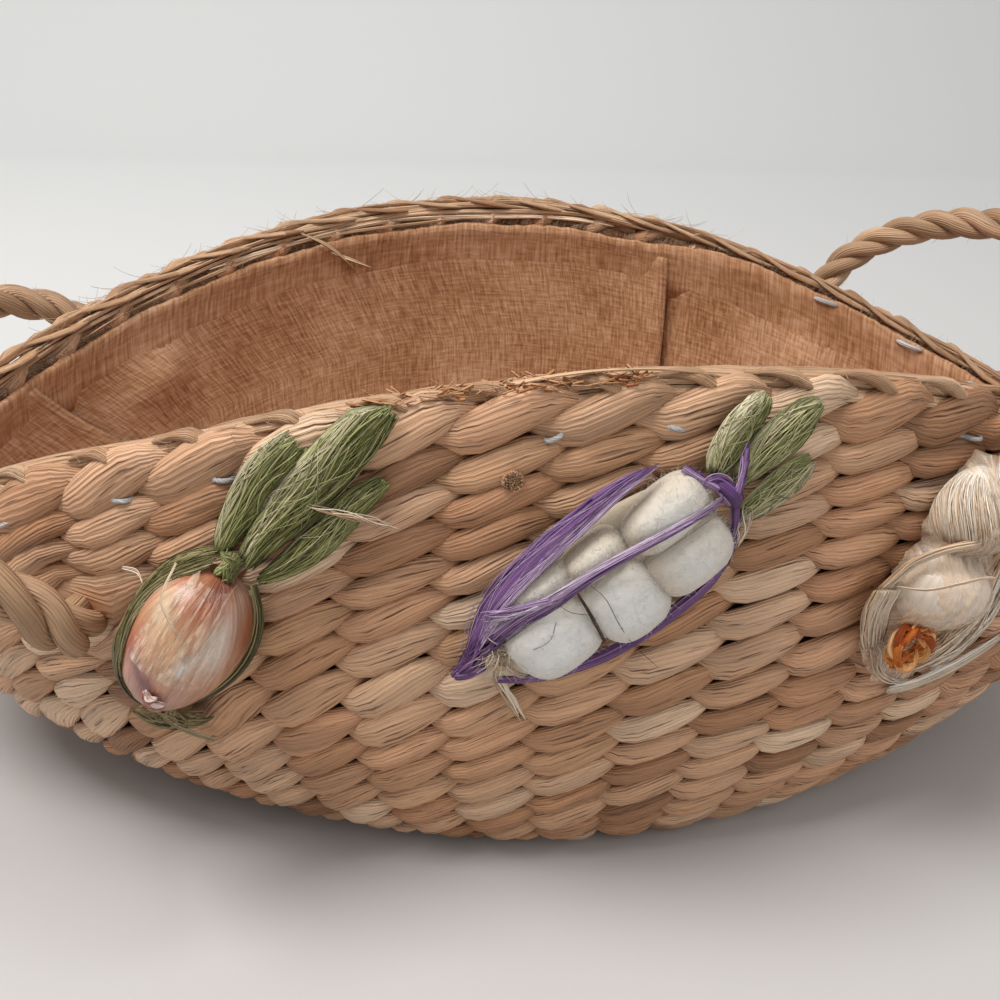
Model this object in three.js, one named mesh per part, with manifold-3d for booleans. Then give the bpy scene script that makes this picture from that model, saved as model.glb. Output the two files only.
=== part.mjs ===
// A boat-shaped storage basket, twined from dried water hyacinth over upright stakes,
// with a stitched cloth lining, two rope handles and three fibre vegetables sewn on the front.
// Millimetres, +Z up, +X along the basket, -Y towards the decorated front.
// The origin is the centre of the flat underside.

import * as THREE from 'three';
import { mergeVertices } from 'three/addons/utils/BufferGeometryUtils.js';
import Module from 'manifold-3d';

const wasm = await Module();
wasm.setup();

// Clearance between neighbouring pieces.
const GAP = 0.3;

// Wall: half sizes of the base and the rim, and the rim's height at the ends and the sides.
const BASE_HALF_LENGTH = 102.9;
const BASE_HALF_WIDTH = 94.7;
const RIM_HALF_LENGTH = 206;
const RIM_HALF_WIDTH = 120;
const END_HEIGHT = 82.6;
const SIDE_HEIGHT = 141.8;
// How squarely the wall turns up from the base: 2 is a quarter ellipse.
const WALL_SQUARENESS = 2.2;

// Weave: uprights, rows, and the thickness of the row that shows outside the stakes.
const STAKE_COUNT = 48;
const STAKE_WIDTH = 6;
const STAKE_THICKNESS = 1.6;
const COURSE_COUNT = 16;
const COURSE_DEPTH = 5.4;
const COURSE_CREASE = 1.6;
// The rows just above the belly are woven from thicker weavers.
const THICK_COURSE = 9.1;
const THICK_COURSE_SPREAD = 1.25;
const THICK_COURSE_EXTRA = 0.4;

// Border: the twisted edge that closes the wall.
const BORDER_HEIGHT = 4.5;
const BORDER_DEPTH = 8;
const BORDER_CREASE = 1.2;

// Rows at which the stakes and the lining bend to follow the wall.
const BEND_ROWS = [1, 4, 8];

// Lining: its cloth, its ease off the stakes, the row where it is sewn, the stakes of the back
// panel's two seams, and the thread.
const LINING_THICKNESS = 1;
const LINING_EASE = 0.8;
const LINING_TOP_COURSE = 15;
const LINING_RIGHT_SEAM_STAKE = 8;
const LINING_LEFT_SEAM_STAKE = 20;
const LINING_BULGE = 6;
const THREAD_DIAMETER = 1.2;
const THREAD_BELOW_EDGE = 4;

// Handles: rope, the gap between rows and stakes that it passes, and its loop.
const ROPE_DIAMETER = 12.5;
const ROPE_COURSE = 12;
const ROPE_STAKE = 5;
const ROPE_NECK_INSET = 4.2;
const ROPE_BEND = 9;
const ROPE_STANDOFF = 13;
const LEFT_HANDLE_LEAN = 35;
const TAIL_RADIUS = 9;
const TAIL_TOP_RADIUS = 5;
const TAIL_THICKNESS = 3.4;
// Loop seen from the end of its leg to the middle: out from the axis, up from it, and the
// share of the half width between the legs that is left.
const LOOP_ROUTE = [
  [0, 12, 1],
  [3, 22, 1],
  [9, 37, 0.99],
  [16, 47, 0.96],
  [26, 56, 0.89],
  [42, 64, 0.76],
  [56, 67, 0.59],
  [67, 68, 0.4],
  [74, 68, 0.2],
  [75, 68, 0],
];

// Ornaments: each one's centre on the front wall and the lean of its long axis.
const ONION = { x: -110, z: 79, lean: 50 };
const POD = { x: -20.7, z: 93.6, lean: 40.9 };
const GARLIC = { x: 70.4, z: 95.5, lean: 88 };

// Onion: bulb, raffia wrap, neck tie, root tuft, and leaves whose roots and tips are given as
// steps along and across from the bulb's top.
const ONION_LENGTH = 42.5;
const ONION_WIDTH = 27;
const ONION_HEIGHT = 19;
const RAFFIA_WIDTH = 2;
const RAFFIA_THICKNESS = 3;
const NECK_TIE = { across: -1.5, length: 5, width: 8, thickness: 7 };
const ROOT_TUFT = { across: -3.4, gap: 4, length: 6, width: 9, thickness: 4 };
const ONION_LEAVES = [
  { name: 'left', root: [6, 3.8], tip: [36.6, 1], width: 6.8, thickness: 2.4 },
  { name: 'middle', root: [6.2, -4], tip: [50.5, -12.8], width: 11.6, thickness: 2.6 },
  { name: 'right', root: [3.4, -11.4], tip: [38.5, -23], width: 7.8, thickness: 2.4 },
];

// Pod: cloves from the knot down, each as distance along and across from the middle and its size,
// then the three raffia strips with their routes, the knot, its tail and the leaves.
const POD_CLOVES = [
  { name: 'left_1', along: 21.5, across: 7.6, width: 11, length: 17, height: 8 },
  { name: 'left_2', along: 5.2, across: 9.2, width: 7.4, length: 14.6, height: 7 },
  { name: 'left_3', along: -9.2, across: 8.6, width: 4, length: 13, height: 5.5 },
  { name: 'right_1', along: 21.5, across: -7.3, width: 12.4, length: 17, height: 9 },
  { name: 'right_2', along: 3.4, across: -6.4, width: 17.6, length: 18.4, height: 9.5 },
  { name: 'right_3', along: -15.2, across: -5.4, width: 17, length: 17.6, height: 9 },
];
const POD_STRIPS = [
  {
    name: 'left',
    width: 4.6,
    thickness: 3,
    route: [
      [34.6, 7.2], [31.2, 13.2], [21.5, 16.5], [13, 16.7], [5.2, 16.3], [-9.2, 14.1], [-21, 10.6], [-30, 5.8],
    ],
  },
  {
    name: 'middle',
    width: 1.6,
    thickness: 5,
    route: [
      [31, 0.3], [21.5, 0.5], [13, 2.6], [3.4, 4.1], [-5.6, 4.4], [-14.6, 5.2], [-23, 5], [-28, 1.2],
    ],
  },
  {
    name: 'right',
    width: 2.2,
    thickness: 3,
    route: [
      [34.4, -5.6], [30.4, -12.4], [21.5, -15.6], [13, -16.2], [3.4, -17], [-5.6, -16.8], [-14.6, -16.3],
      [-23, -12.6], [-29, -5],
    ],
  },
];
const POD_KNOT = { along: 35.2, across: 0.4, diameter: 7, height: 6 };
const POD_TAIL = { along: -31.8, across: 2.6, length: 7.6, width: 6, thickness: 3.5 };
const POD_LEAVES = [
  { name: 'left', root: [3.2, 5.6], tip: [20.4, 8.8], width: 7.6, thickness: 2 },
  { name: 'middle', root: [4.6, -2.2], tip: [26.8, -2.6], width: 9.2, thickness: 2 },
  { name: 'right', root: [0.6, -10.6], tip: [19, -13.2], width: 6.6, thickness: 2 },
];

// Garlic: two bulbs in line, the neck above, the root ball below, and a loose band of straw.
const GARLIC_WIDTH = 22.5;
const GARLIC_LENGTH = 20.4;
const GARLIC_HEIGHT = 15;
const GARLIC_SPACING = 21.2;
const GARLIC_NECK = { across: -1, length: 12, width: 9, height: 6 };
const ROOT_BALL = { across: 2.2, length: 11.6, width: 13, height: 8.5 };
const STRAW_LOOP_ROUTE = [
  [3, 12.6], [-3, 13.9], [-11.6, 16.4], [-16.5, 16.8], [-25.5, 13.4], [-33, 8.6], [-37, 3.6],
];
const STRAW_BAND = {
  width: 3.4,
  thickness: 1,
  route: [[-41.6, -1.8], [-39.6, -10], [-37.2, -19], [-33, -27], [-28.7, -34.2]],
};

const WEAVE = { color: 0x9c7350, roughness: 0.8, metalness: 0 };
const WEAVE_DARK = { color: 0x7d5a3a, roughness: 0.85, metalness: 0 };
const CLOTH = { color: 0xa07853, roughness: 0.95, metalness: 0 };
const THREAD = { color: 0xd9d4cb, roughness: 0.6, metalness: 0 };
const ROPE = { color: 0xa38672, roughness: 0.9, metalness: 0 };
const ONION_SKIN = { color: 0xc49a70, roughness: 0.5, metalness: 0 };
const LEAF = { color: 0x6b6a3e, roughness: 0.8, metalness: 0 };
const COTTON = { color: 0xc9c6bf, roughness: 0.95, metalness: 0 };
const PURPLE_RAFFIA = { color: 0x7a5a8e, roughness: 0.5, metalness: 0 };
const STRAW = { color: 0xb9a27e, roughness: 0.7, metalness: 0 };
const ROOTS = { color: 0xb4642c, roughness: 0.9, metalness: 0 };

const basket = new THREE.Group();

function addPiece(name, geometry, finish, parent = basket) {
  const mesh = new THREE.Mesh(geometry, new THREE.MeshStandardMaterial(finish));
  mesh.name = name;
  parent.add(mesh);
  return mesh;
}

// Angle at an even share of an ellipse's outline, counted from its +X end.
function makeEvenAngle(halfLength, halfWidth) {
  const samples = 720;
  const lengths = [0];
  const step = (2 * Math.PI) / samples;
  for (let i = 0; i < samples; i++) {
    const a = i * step;
    const b = a + step;
    const dx = halfLength * (Math.cos(b) - Math.cos(a));
    const dy = halfWidth * (Math.sin(b) - Math.sin(a));
    lengths.push(lengths[i] + Math.hypot(dx, dy));
  }
  return (share) => {
    const whole = Math.floor(share);
    const wanted = (share - whole) * lengths[samples];
    let i = 1;
    while (lengths[i] < wanted) i++;
    const within = (wanted - lengths[i - 1]) / (lengths[i] - lengths[i - 1]);
    return 2 * Math.PI * whole + (i - 1 + within) * step;
  };
}

const baseAngle = makeEvenAngle(BASE_HALF_LENGTH, BASE_HALF_WIDTH);
const rimAngle = makeEvenAngle(RIM_HALF_LENGTH, RIM_HALF_WIDTH);

// Point of the wall at an angle and a rise from 0 at the base to 1 at the rim. Depth moves it
// inwards, and up off the floor, so every layer of the wall is a smaller basket of its own.
function wallPoint(angle, rise, depth) {
  const turn = (rise * Math.PI) / 2;
  const power = 2 / WALL_SQUARENESS;
  const flare = Math.sin(turn) ** power;
  const lift = 1 - Math.cos(turn) ** power;
  const top = END_HEIGHT + (SIDE_HEIGHT - END_HEIGHT) * Math.sin(angle) ** 2;
  const halfLength = BASE_HALF_LENGTH + (RIM_HALF_LENGTH - BASE_HALF_LENGTH) * flare - depth;
  const halfWidth = BASE_HALF_WIDTH + (RIM_HALF_WIDTH - BASE_HALF_WIDTH) * flare - depth;
  return new THREE.Vector3(
    halfLength * Math.cos(angle),
    halfWidth * Math.sin(angle),
    depth + (top - depth) * lift,
  );
}

// The wall's slant length at an angle, and the rise at a share of it.
function slant(angle) {
  const samples = 60;
  const lengths = [0];
  let last = wallPoint(angle, 0, 0);
  for (let i = 1; i <= samples; i++) {
    const next = wallPoint(angle, i / samples, 0);
    lengths.push(lengths[i - 1] + next.distanceTo(last));
    last = next;
  }
  return { samples, lengths, total: lengths[samples] };
}

function riseAt(angle, share) {
  const { samples, lengths, total } = slant(angle);
  const wanted = Math.min(Math.max(share, 0), 1) * total;
  let i = 1;
  while (i < samples && lengths[i] < wanted) i++;
  const within = (wanted - lengths[i - 1]) / (lengths[i] - lengths[i - 1]);
  return (i - 1 + within) / samples;
}

// Point of the wall by stake, counted from the +X end, share up the slant, and depth from the
// outside. Half a stake on is the gap between two stakes, where the rows have their corners.
function woven(stake, up, depth) {
  const round = stake / STAKE_COUNT;
  const angle = (1 - up) * baseAngle(round) + up * rimAngle(round);
  return wallPoint(angle, riseAt(angle, up), depth);
}

// A closed mesh of the given corners and triangles, with its faces turned outwards.
function closedBody(corners, faces) {
  let volume = 0;
  for (let i = 0; i < faces.length; i += 3) {
    const [p, q, r] = [corners[faces[i]], corners[faces[i + 1]], corners[faces[i + 2]]];
    volume += p.dot(q.clone().cross(r));
  }
  if (volume < 0) faces.reverse();
  const geometry = new THREE.BufferGeometry();
  const flat = corners.flatMap((corner) => corner.toArray());
  geometry.setAttribute('position', new THREE.Float32BufferAttribute(flat, 3));
  geometry.setIndex(faces);
  geometry.computeVertexNormals();
  return geometry;
}

// Faces between two neighbouring outlines, each four-sided one split on its shorter diagonal.
function sideFaces(corners, count, from, to) {
  const faces = [];
  for (let j = 0; j < count; j++) {
    const k = (j + 1) % count;
    const [a, b, c, d] = [from + j, to + j, to + k, from + k];
    if (corners[a].distanceTo(corners[c]) < corners[b].distanceTo(corners[d])) {
      faces.push(a, b, c, a, c, d);
    } else {
      faces.push(a, b, d, b, c, d);
    }
  }
  return faces;
}

// Body through a row of outlines with the same number of points each, its ends capped by fans
// unless the row closes on itself.
function loft(outlines, closed = false) {
  const count = outlines[0].length;
  const corners = outlines.flat();
  const faces = [];
  for (let i = 0; i < outlines.length - 1; i++) {
    faces.push(...sideFaces(corners, count, i * count, (i + 1) * count));
  }
  const end = (outlines.length - 1) * count;
  if (closed) {
    faces.push(...sideFaces(corners, count, end, 0));
  } else {
    for (let j = 1; j < count - 1; j++) {
      faces.push(0, j, j + 1, end, end + j + 1, end + j);
    }
  }
  return closedBody(corners, faces);
}

// Body through outlines that are each a bent strip, outer edge first and inner edge back.
function sheetLoft(outlines) {
  const count = outlines[0].length;
  const corners = outlines.flat();
  const faces = [];
  for (let i = 0; i < outlines.length - 1; i++) {
    faces.push(...sideFaces(corners, count, i * count, (i + 1) * count));
  }
  const end = (outlines.length - 1) * count;
  for (let j = 0; j < count / 2 - 1; j++) {
    const [a, b, c, d] = [j, j + 1, count - 2 - j, count - 1 - j];
    faces.push(a, b, c, a, c, d);
    faces.push(end + a, end + c, end + b, end + a, end + d, end + c);
  }
  return closedBody(corners, faces);
}

function toSolid(geometry) {
  const bare = geometry.clone();
  bare.deleteAttribute('normal');
  bare.deleteAttribute('uv');
  const merged = mergeVertices(bare);
  return new wasm.Manifold(new wasm.Mesh({
    numProp: 3,
    vertProperties: new Float32Array(merged.attributes.position.array),
    triVerts: new Uint32Array(merged.index.array),
  }));
}

function toGeometry(solid) {
  const mesh = solid.getMesh();
  const geometry = new THREE.BufferGeometry();
  geometry.setAttribute('position', new THREE.Float32BufferAttribute(mesh.vertProperties, 3));
  geometry.setIndex([...mesh.triVerts]);
  geometry.computeVertexNormals();
  return geometry;
}

// Slant shares where one row ends and the next starts.
const slantLength = slant(0).total;
const rowWeights = [];
for (let row = 1; row <= COURSE_COUNT; row++) {
  const away = (row - THICK_COURSE) / THICK_COURSE_SPREAD;
  rowWeights.push(1 + THICK_COURSE_EXTRA * Math.exp(-away * away));
}
const weightSum = rowWeights.reduce((sum, weight) => sum + weight, 0);
const rowTops = [0];
for (const weight of rowWeights) {
  const share = (weight / weightSum) * (1 - BORDER_HEIGHT / slantLength);
  rowTops.push(rowTops.at(-1) + share);
}
const halfGap = GAP / 2 / slantLength;

// A ring of the wall whose section is given as [up, depth] pairs.
function ring(section) {
  const outlines = [];
  for (let stake = 0; stake < STAKE_COUNT; stake++) {
    outlines.push(section.map(([up, depth]) => woven(stake + 0.5, up, depth)));
  }
  return loft(outlines, true);
}

// The rope's hinge axis runs through a gap between two rows, between two stakes.
const ropeUp = rowTops[ROPE_COURSE];
const ropeHole = woven(ROPE_STAKE + 0.5, ropeUp, COURSE_DEPTH / 2);
const ropeOuter = woven(ROPE_STAKE + 0.5, ropeUp, 0);

// The hole's flats keep the clearance round the rope.
function ropeHoleCutter(side) {
  const facets = 12;
  const radius = (ROPE_DIAMETER / 2 + GAP) / Math.cos(Math.PI / facets);
  const cutter = new THREE.CylinderGeometry(radius, radius, 3 * RIM_HALF_WIDTH, facets);
  cutter.translate(side * ropeHole.x, 0, ropeHole.z);
  return toSolid(cutter);
}

function courseRing(row) {
  const low = rowTops[row - 1] + halfGap;
  const high = rowTops[row] - halfGap;
  const geometry = ring([
    [low, COURSE_DEPTH],
    [low, COURSE_CREASE],
    [(low + high) / 2, 0],
    [high, COURSE_CREASE],
    [high, COURSE_DEPTH],
  ]);
  if (row !== ROPE_COURSE && row !== ROPE_COURSE + 1) return geometry;
  const cut = toSolid(geometry).subtract(ropeHoleCutter(1)).subtract(ropeHoleCutter(-1));
  return toGeometry(cut);
}

// Flat oval plate whose edge leans in as it rises, to meet the wall's mitred foot.
function ovalPlate(lowDepth, highDepth) {
  const outlines = [lowDepth, highDepth].map((depth) => {
    const outline = [];
    for (let stake = 0; stake < STAKE_COUNT; stake++) {
      const foot = woven(stake + 0.5, 0, depth + GAP);
      outline.push(foot.setZ(depth));
    }
    return outline;
  });
  return loft(outlines);
}

addPiece('base_mat', ovalPlate(0, COURSE_DEPTH), WEAVE_DARK);
for (let row = 1; row <= COURSE_COUNT; row++) {
  addPiece(`course_${String(row).padStart(2, '0')}`, courseRing(row), WEAVE);
}

const borderLow = rowTops[COURSE_COUNT] + halfGap;
const borderMiddle = (borderLow + 1) / 2;
addPiece('rim_border', ring([
  [borderLow, BORDER_DEPTH - BORDER_CREASE],
  [borderLow, BORDER_CREASE],
  [borderMiddle, 0],
  [1, BORDER_CREASE],
  [1, BORDER_DEPTH - BORDER_CREASE],
  [borderMiddle, BORDER_DEPTH],
]), WEAVE);

// Stakes: flat strips behind the rows, bent at the foot, that meet edge to edge on the base.
const stakeOuter = COURSE_DEPTH + GAP;
const stakeInner = stakeOuter + STAKE_THICKNESS;
const stakeEnd = rowTops[COURSE_COUNT] - halfGap;
const liningOuter = stakeInner + LINING_EASE;
const liningInner = liningOuter + LINING_THICKNESS;
const layerRows = [0, ...BEND_ROWS, ROPE_COURSE, LINING_TOP_COURSE];

function stakeSection(stake, up) {
  const ends = [stakeOuter, stakeInner].map((depth) => [
    woven(stake - 0.5, up, depth),
    woven(stake + 0.5, up, depth),
  ]);
  const along = ends[0][1].clone().sub(ends[0][0]).normalize().multiplyScalar(STAKE_WIDTH / 2);
  const [outer, inner] = ends.map(([from, to]) => from.add(to).multiplyScalar(0.5));
  return [
    outer.clone().sub(along),
    outer.clone().add(along),
    inner.clone().add(along),
    inner.clone().sub(along),
  ];
}

function hubCorner(stake, height) {
  const radius = STAKE_WIDTH / 2 / Math.sin(Math.PI / STAKE_COUNT);
  const angle = (2 * Math.PI * stake) / STAKE_COUNT;
  return new THREE.Vector3(radius * Math.cos(angle), radius * Math.sin(angle), height);
}

function stakeFrame() {
  const corners = [stakeOuter, stakeInner].map((height) => new THREE.Vector3(0, 0, height));
  const faces = [];
  for (let stake = 0; stake < STAKE_COUNT; stake++) {
    const root = [
      hubCorner(stake - 0.5, stakeOuter),
      hubCorner(stake + 0.5, stakeOuter),
      hubCorner(stake + 0.5, stakeInner),
      hubCorner(stake - 0.5, stakeInner),
    ];
    const rises = [...layerRows.map((row) => rowTops[row]), stakeEnd];
    const first = corners.length;
    corners.push(...root, ...rises.flatMap((up) => stakeSection(stake, up)));
    for (let from = first; from < corners.length - 4; from += 4) {
      faces.push(...sideFaces(corners, 4, from, from + 4));
    }
    const end = corners.length - 4;
    faces.push(end, end + 2, end + 1, end, end + 3, end + 2);
    faces.push(0, first, first + 1, 1, first + 2, first + 3);
  }
  return closedBody(corners, faces);
}

addPiece('stake_frame', stakeFrame(), WEAVE_DARK);

// Lining: a bottom and four side panels, bulging a little over the rope ends.
const half = STAKE_COUNT / 2;
const ropeStakes = [
  ROPE_STAKE,
  half - ROPE_STAKE - 1,
  half + ROPE_STAKE,
  STAKE_COUNT - ROPE_STAKE - 1,
].map((stake) => stake + 0.5);

function liningPoint(stake, row, depth) {
  const overRope = row === ROPE_COURSE && ropeStakes.includes((stake + STAKE_COUNT) % STAKE_COUNT);
  return woven(stake, rowTops[row], depth + (overRope ? LINING_BULGE : 0));
}

function liningPanel(from, to) {
  const outlines = [];
  const trim = GAP / 2 / ((Math.PI * (RIM_HALF_LENGTH + RIM_HALF_WIDTH)) / STAKE_COUNT);
  for (let stake = from; stake <= to; stake++) {
    let place = stake;
    if (stake === from) place += trim;
    if (stake === to) place -= trim;
    const side = (depth) => layerRows.map((row) => liningPoint(place, row, depth));
    outlines.push([...side(liningOuter), ...side(liningInner).reverse()]);
  }
  return sheetLoft(outlines);
}

const rightSeam = LINING_RIGHT_SEAM_STAKE + 0.5;
const leftSeam = LINING_LEFT_SEAM_STAKE + 0.5;
addPiece('lining_bottom', ovalPlate(liningOuter, liningInner), CLOTH);
addPiece('lining_right', liningPanel(-rightSeam, rightSeam), CLOTH);
addPiece('lining_back', liningPanel(rightSeam, leftSeam), CLOTH);
addPiece('lining_left', liningPanel(leftSeam, STAKE_COUNT - leftSeam), CLOTH);
addPiece('lining_front', liningPanel(STAKE_COUNT - leftSeam, STAKE_COUNT - rightSeam), CLOTH);

// The running thread that sews the lining's top hem to the wall, on the hem's own facets.
function liningThread() {
  const radius = THREAD_DIAMETER / 2;
  const hemSlant = slantLength * (rowTops[LINING_TOP_COURSE] - rowTops[ROPE_COURSE]);
  const middle = THREAD_BELOW_EDGE / hemSlant;
  const reach = radius / hemSlant;
  const depth = liningInner + 3 * GAP + radius;
  const at = (stake, share, deep) => {
    const low = liningPoint(stake, ROPE_COURSE, deep);
    return liningPoint(stake, LINING_TOP_COURSE, deep).lerp(low, share);
  };
  const outlines = [];
  for (let stake = 0; stake < STAKE_COUNT; stake++) {
    const place = stake + 0.5;
    outlines.push([
      at(place, middle, depth - radius),
      at(place, middle - reach, depth),
      at(place, middle, depth + radius),
      at(place, middle + reach, depth),
    ]);
  }
  return loft(outlines, true);
}

addPiece('lining_thread', liningThread(), THREAD);

// Handles: one rope loop at each end, from the front wall over the end to the back wall.
const legReach = ropeOuter.y + ROPE_STANDOFF;

function ropeLoop() {
  const neckEnd = ropeOuter.y - ROPE_NECK_INSET;
  const bendStart = legReach - ROPE_BEND;
  const leg = [
    new THREE.Vector3(0, -neckEnd, 0),
    new THREE.Vector3(0, -(neckEnd + bendStart) / 2, 0),
    new THREE.Vector3(0, -bendStart, 0),
  ];
  for (const degrees of [30, 60]) {
    const turned = THREE.MathUtils.degToRad(degrees);
    leg.push(new THREE.Vector3(
      0,
      -(bendStart + ROPE_BEND * Math.sin(turned)),
      ROPE_BEND * (1 - Math.cos(turned)),
    ));
  }
  for (const [out, up, share] of LOOP_ROUTE) {
    leg.push(new THREE.Vector3(out, -share * legReach, up));
  }
  const otherLeg = leg.slice(0, -1).reverse().map((p) => new THREE.Vector3(p.x, -p.y, p.z));
  const route = new THREE.CatmullRomCurve3([...leg, ...otherLeg], false, 'centripetal');
  const section = new THREE.Shape();
  const sides = 8;
  for (let i = 0; i < sides; i++) {
    const angle = (2 * Math.PI * i) / sides;
    const x = (ROPE_DIAMETER / 2) * Math.cos(angle);
    const y = (ROPE_DIAMETER / 2) * Math.sin(angle);
    if (i === 0) section.moveTo(x, y);
    else section.lineTo(x, y);
  }
  section.closePath();
  return new THREE.ExtrudeGeometry(section, { steps: 46, extrudePath: route });
}

function addHandle(name, side, lean) {
  const pivot = new THREE.Group();
  pivot.position.set(side * ropeHole.x, 0, ropeHole.z);
  pivot.rotation.set(0, THREE.MathUtils.degToRad(side * lean), side < 0 ? Math.PI : 0, 'YZX');
  basket.add(pivot);
  addPiece(name, ropeLoop(), ROPE, pivot);
}

addHandle('handle_right', 1, 0);
addHandle('handle_left', -1, LEFT_HANDLE_LEAN);

// The rope's splayed ends, sewn flat between the stakes and the lining.
function ropeTail(stake) {
  const centre = woven(stake, ropeUp, liningOuter);
  const round = woven(stake + 0.1, ropeUp, liningOuter).sub(centre).normalize();
  const above = woven(stake, ropeUp + 0.01, liningOuter).sub(centre).normalize();
  const inwards = above.clone().cross(round).normalize();
  if (inwards.dot(centre.clone().setZ(0)) > 0) inwards.negate();
  const outlines = [
    { radius: TAIL_RADIUS, at: 0 },
    { radius: TAIL_TOP_RADIUS, at: TAIL_THICKNESS },
  ].map(({ radius, at }) => {
    const outline = [];
    const sides = 8;
    for (let i = 0; i < sides; i++) {
      const angle = (2 * Math.PI * (i + 0.5)) / sides;
      outline.push(centre.clone()
        .addScaledVector(round, radius * Math.cos(angle))
        .addScaledVector(above, radius * Math.sin(angle))
        .addScaledVector(inwards, at + LINING_EASE));
    }
    return outline;
  });
  return loft(outlines);
}

const tailNames = ['right_back', 'left_back', 'left_front', 'right_front'];
tailNames.forEach((place, i) => addPiece(`rope_tail_${place}`, ropeTail(ropeStakes[i]), ROPE));

// Front wall: its point, outward normal and level tangent where it has a given x and height.
function frontWall(x, z) {
  const angleAt = (rise) => {
    const flare = Math.sin((rise * Math.PI) / 2) ** (2 / WALL_SQUARENESS);
    const halfLength = BASE_HALF_LENGTH + (RIM_HALF_LENGTH - BASE_HALF_LENGTH) * flare;
    return -Math.acos(x / halfLength);
  };
  let low = 0;
  let high = 1;
  for (let i = 0; i < 40; i++) {
    const middle = (low + high) / 2;
    if (wallPoint(angleAt(middle), middle, 0).z < z) low = middle;
    else high = middle;
  }
  const rise = (low + high) / 2;
  const angle = angleAt(rise);
  const point = wallPoint(angle, rise, 0);
  const small = 1e-4;
  const level = wallPoint(angle + small, rise, 0).sub(point).normalize();
  const upward = point.clone().sub(wallPoint(angle, rise - small, 0)).normalize();
  const normal = level.clone().cross(upward).normalize();
  return { point, normal, level };
}

// A piece that lies on the front wall. Its stations are [along, across, half width, height] in
// the ornament's own directions; its back follows the wall and its face is domed or square.
function wallPiece(ornament, stations, { square = false } = {}) {
  const home = frontWall(ornament.x, ornament.z);
  const upward = home.normal.clone().cross(home.level);
  const lean = THREE.MathUtils.degToRad(ornament.lean);
  const alongAxis = home.level.clone().multiplyScalar(Math.cos(lean))
    .addScaledVector(upward, Math.sin(lean));
  const acrossAxis = home.normal.clone().cross(alongAxis);
  const seats = stations.map(([along, across]) => {
    const flat = home.point.clone()
      .addScaledVector(alongAxis, along)
      .addScaledVector(acrossAxis, across);
    return frontWall(flat.x, flat.z);
  });
  const outline = square
    ? [[-1, 0], [-1, 1], [1, 1], [1, 0]]
    : [[-1, 0], [-0.75, 0.62], [0, 1], [0.75, 0.62], [1, 0]];
  const outlines = seats.map((seat, i) => {
    const before = seats[Math.max(i - 1, 0)].point;
    const after = seats[Math.min(i + 1, seats.length - 1)].point;
    const heading = after.clone().sub(before).normalize();
    const sideways = seat.normal.clone().cross(heading).normalize();
    const [, , halfWidth, height] = stations[i];
    return outline.map(([s, h]) => seat.point.clone()
      .addScaledVector(sideways, s * halfWidth)
      .addScaledVector(seat.normal, GAP + h * height));
  });
  return loft(outlines);
}

// Stations of an egg shape laid along the ornament.
function egg({ along, across = 0, length, width, height, blunt = 0.25 }) {
  const shares = [-1, -0.8, -0.4, 0, 0.4, 0.8, 1];
  return shares.map((share) => {
    const full = Math.max(Math.sqrt(1 - share * share), blunt);
    return [along + (share * length) / 2, across, (full * width) / 2, full * height];
  });
}

// Leaf stations: narrow at the root, widest past the middle, pointed at the tip. The root and
// tip are steps along and across from the tie's own place.
function leaf({ root, tip, width, thickness }, [alongTie, acrossTie]) {
  const shares = [[0, 0.45], [0.3, 0.85], [0.65, 1], [0.9, 0.6], [1, 0.2]];
  return shares.map(([share, full]) => [
    alongTie + root[0] + (tip[0] - root[0]) * share,
    acrossTie + root[1] + (tip[1] - root[1]) * share,
    (full * width) / 2,
    thickness,
  ]);
}

function strip(points, width, thickness) {
  return points.map(([along, across]) => [along, across, width / 2, thickness]);
}

// Onion: the raffia hugs the bulb from the neck round its root and back.
const onionTop = ONION_LENGTH / 2;
const wrapAcross = ONION_WIDTH / 2 + 2 * GAP + RAFFIA_WIDTH / 2;
const onionHip = 0.62 * onionTop;
const hipAcross = 0.86 * wrapAcross;
const footAcross = 0.42 * wrapAcross;
const wrapSide = [
  [onionTop - RAFFIA_WIDTH, 0.54 * wrapAcross],
  [onionHip, hipAcross],
  [0, wrapAcross],
  [-onionHip, hipAcross],
  [-onionTop - RAFFIA_WIDTH / 2, footAcross],
];
addPiece('onion_bulb', wallPiece(ONION, egg({
  along: 0, length: ONION_LENGTH, width: ONION_WIDTH, height: ONION_HEIGHT,
})), ONION_SKIN);
addPiece('onion_wrap', wallPiece(ONION, strip([
  ...wrapSide,
  [-onionTop - RAFFIA_WIDTH - GAP, 0],
  ...wrapSide.map(([along, across]) => [along, -across]).reverse(),
], RAFFIA_WIDTH, RAFFIA_THICKNESS), { square: true }), LEAF);
addPiece('onion_neck_tie', wallPiece(ONION, strip([
  [onionTop + GAP, NECK_TIE.across],
  [onionTop + GAP + NECK_TIE.length, NECK_TIE.across],
], NECK_TIE.width, NECK_TIE.thickness)), LEAF);
addPiece('onion_root_tuft', wallPiece(ONION, strip([
  [-onionTop - ROOT_TUFT.gap, ROOT_TUFT.across],
  [-onionTop - ROOT_TUFT.gap - ROOT_TUFT.length, ROOT_TUFT.across],
], ROOT_TUFT.width, ROOT_TUFT.thickness)), STRAW);
for (const one of ONION_LEAVES) {
  addPiece(`onion_leaf_${one.name}`, wallPiece(ONION, leaf(one, [onionTop, 0])), LEAF);
}

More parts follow.
